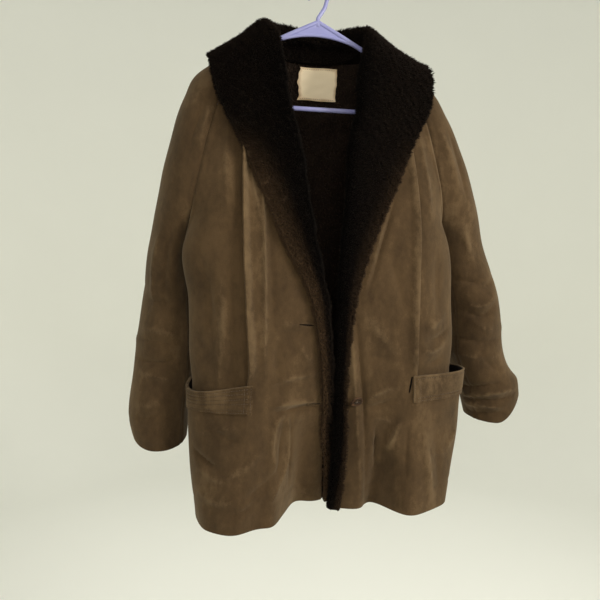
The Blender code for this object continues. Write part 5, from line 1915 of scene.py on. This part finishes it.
@dataclass
class Hanger:
    """Tubular hanger: arms and bar in one loop, an arched web with a rim and the hook."""

    plastic: Material
    tube: float = 0.0040
    hook_tube: float = 0.0036
    hook_radius: float = 0.0175
    apex_z: float = -0.055
    web_thick: float = 0.0046
    web_half: float = 0.075
    arch_top: float = -0.0815
    arch_fall: float = 2.60

    def loop(self) -> tuple[Array, Array]:
        """Arms and bar: the arm's line to the bar, and its mirror image, as one round tube."""
        at = np.linspace(0, len(ARM_PATH) - 1, 90)
        arm = spline(np.arange(len(ARM_PATH)), ARM_PATH, at)
        half = np.stack([arm[:, 0], np.zeros(90), arm[:, 1]], axis=-1)
        bar = half[-1] * (1 - np.linspace(0, 2, 40)[1:-1, None] * (1, 0, 0))
        mirrored = (half * (-1, 1, 1))[:0:-1]
        return sweep(np.concatenate([half, bar, mirrored]), self.tube, 18, closed=True)

    def arch(self, x: Array) -> Array:
        """Lower edge of the web."""
        return self.arch_top - self.arch_fall * x ** 2

    def web(self) -> list[tuple[Array, Array]]:
        """The plate between the arms, with faces that bow in a little, and a round rim along its arch."""
        x = np.linspace(-self.web_half, self.web_half, 61)
        top = np.interp(np.abs(x), ARM_PATH[:, 0], ARM_PATH[:, 1]) - 0.0005
        low = np.minimum(self.arch(x), top - 0.0002)
        share = np.linspace(0, 1, 13)
        z = top[:, None] + (low - top)[:, None] * share[None]
        y = self.web_thick / 2 * (1 - 0.35 * np.sin(np.pi * share))[None] + 0 * z
        front = np.stack([x[:, None] + 0 * z, -y, z], axis=-1).reshape(-1, 3)
        back = front * (1, -1, 1)
        index = np.arange(z.size).reshape(z.shape)
        other = index + z.size
        faces = np.concatenate([quads(index), quads(other)[:, ::-1],
                                quads(np.stack([index[:, -1], other[:, -1]], axis=-1)),
                                quads(np.stack([other[:, 0], index[:, 0]], axis=-1)),
                                quads(np.stack([other[0], index[0]], axis=0)),
                                quads(np.stack([index[-1], other[-1]], axis=0))])
        rim = np.stack([x, 0 * x, low], axis=-1)
        return [(np.concatenate([front, back]), faces), sweep(rim, 0.0029, 14)]

    def hook(self) -> tuple[Array, Array]:
        """Stem, lean and bow of the hook as one tube with a rounded tip."""
        turn = np.radians(np.linspace(-20, 200, 24))
        bow = np.stack([np.cos(turn), np.zeros(24), np.sin(turn)], axis=-1) * self.hook_radius
        bow += (0, 0, self.hook_tube - self.hook_radius)
        stem = np.array([(0.0, 0, self.apex_z - 0.012), (0.0, 0, self.apex_z + 0.001),
                         (0.005, 0, self.apex_z + 0.010), (0.012, 0, self.apex_z + 0.021)])
        knots = np.concatenate([stem, bow])
        path = spline(np.arange(len(knots)), knots, np.linspace(0, len(knots) - 1, 120))
        end = unit(path[-1] - path[-2])
        rounding = np.sin(np.linspace(0, math.pi / 2, 8))[1:]
        path = np.concatenate([path, path[-1] + end * rounding[:, None] * self.hook_tube])
        radius = np.concatenate([np.full(120, self.hook_tube),
                                 self.hook_tube * np.sqrt(np.maximum(1 - rounding ** 2, 0.0004))])
        return sweep(path, radius, 18)

    def build(self) -> None:
        """The hanger as one moulded piece."""
        points, faces = join_arrays([self.loop(), *self.web(), self.hook()])
        settle(add_mesh("hanger_moulded", points, faces, [self.plastic]), "hanger_plastic", "hanger")


@dataclass
class Studio:
    """Round pale cove, soft lights and the camera at the photograph's angle."""

    backdrop: Material
    floor_z: float = -1.90
    radius: float = 3.6
    cove: float = 0.9
    wall_top: float = 2.6
    camera_at: Colour = (-0.3118, -1.0421, -0.4554)
    camera_way: Colour = (0.2579, 0.9625, -0.0837)
    heart: Colour = (0.0, 0.0, -0.50)

    # Lights: name, place, side of the square, watts, colour
    LIGHTS = (
        ("key_light", (1.45, -1.55, 0.15), 0.7, 40.0, (1.0, 0.97, 0.91)),
        ("front_light", (-0.45, -1.9, 0.25), 0.9, 11.0, (1.0, 0.96, 0.90)),
        ("fill_light", (-1.6, -1.5, -0.2), 1.4, 6.0, (0.95, 0.98, 1.0)),
        ("back_light", (0.6, 1.9, 0.7), 1.2, 24.0, (1.0, 0.98, 0.94)),
    )

    def make_cove(self) -> None:
        """Floor and wall: a profile of floor, quarter circle and wall carried round the middle."""
        bend = np.linspace(0, math.pi / 2, 14)
        centre = self.radius - self.cove
        r = np.concatenate([(0.001, centre * 0.5), centre + self.cove * np.sin(bend), (self.radius,)])
        z = np.concatenate([(0.0, 0.0), self.cove * (1 - np.cos(bend)), (self.wall_top - self.floor_z,)])
        turn = np.linspace(0, 2 * math.pi, 96, endpoint=False)
        points = np.stack([r[:, None] * np.cos(turn), r[:, None] * np.sin(turn),
                           (z + self.floor_z)[:, None] + 0 * turn], axis=-1)
        add_mesh("studio_cove", points.reshape(-1, 3), tube_faces(len(r), 96), [self.backdrop])

    def put(self, name: str, data: bpy.types.ID, place: Colour, way: Vector) -> Piece:
        """Puts a light or camera at a place, looking along a direction."""
        holder = bpy.data.objects.new(name, data)
        holder.location = place
        holder.rotation_mode = "QUATERNION"
        holder.rotation_quaternion = way.to_track_quat("-Z", "Y")
        bpy.context.scene.collection.objects.link(holder)
        return holder

    def make_lights(self) -> None:
        """Soft square lights, aimed at the heart of the coat."""
        for name, place, size, watts, colour in self.LIGHTS:
            lamp = bpy.data.lights.new(name, "AREA")
            lamp.size = size
            lamp.energy = watts
            lamp.color = colour
            self.put(name, lamp, place, Vector(self.heart) - Vector(place))

    def make_camera(self) -> None:
        """The camera: the long side of its picture spans as much as it is away."""
        view = bpy.data.cameras.new("camera")
        view.lens = 36.0
        view.sensor_width = 36.0
        view.clip_start = 0.02
        bpy.context.scene.camera = self.put("camera", view, self.camera_at, Vector(self.camera_way))

    def build(self) -> None:
        """Cove, lights, surrounding light and camera."""
        self.make_cove()
        self.make_lights()
        world = bpy.data.worlds.new("studio_world")
        world.use_nodes = True
        around = world.node_tree.nodes["Background"].inputs
        around["Color"].default_value = (0.95, 0.97, 0.92, 1.0)
        around["Strength"].default_value = 0.50
        bpy.context.scene.world = world
        bpy.context.scene.view_settings.view_transform = "Standard"
        self.make_camera()


def main() -> None:
    """Builds the coat, its hanger and the studio."""
    logging.basicConfig(level=logging.INFO, format="%(message)s")
    suede = SuedeFinish().material()
    skin = PileFinish().material("pile_skin", tufted=False)
    pile = PileFinish().material("pile_tufts", tufted=True)
    thread = ThreadFinish().material()
    sewing = Sewing(thread)
    form = CoatForm()
    body = Body(form, suede, skin)
    body.build()
    Pockets(body, sewing).build()
    Collar(form, skin, pile).build()
    # The lining's pile is painted lighter than the collar's: painted light standing for the light that
    # reaches inside the coat
    inside = PileFinish(root=(0.004, 0.0026, 0.0018), tip=(0.040, 0.0250, 0.0170))
    Lining(body, sewing, inside.material("lining_skin", tufted=False),
           inside.material("lining_tufts", tufted=True), LabelFinish().material()).build()
    Fastenings(body, HornFinish().material(), thread, skin).build()
    Hanger(HangerFinish().material()).build()
    Studio(BackdropFinish().material()).build()


if __name__ == "__main__":
    main()
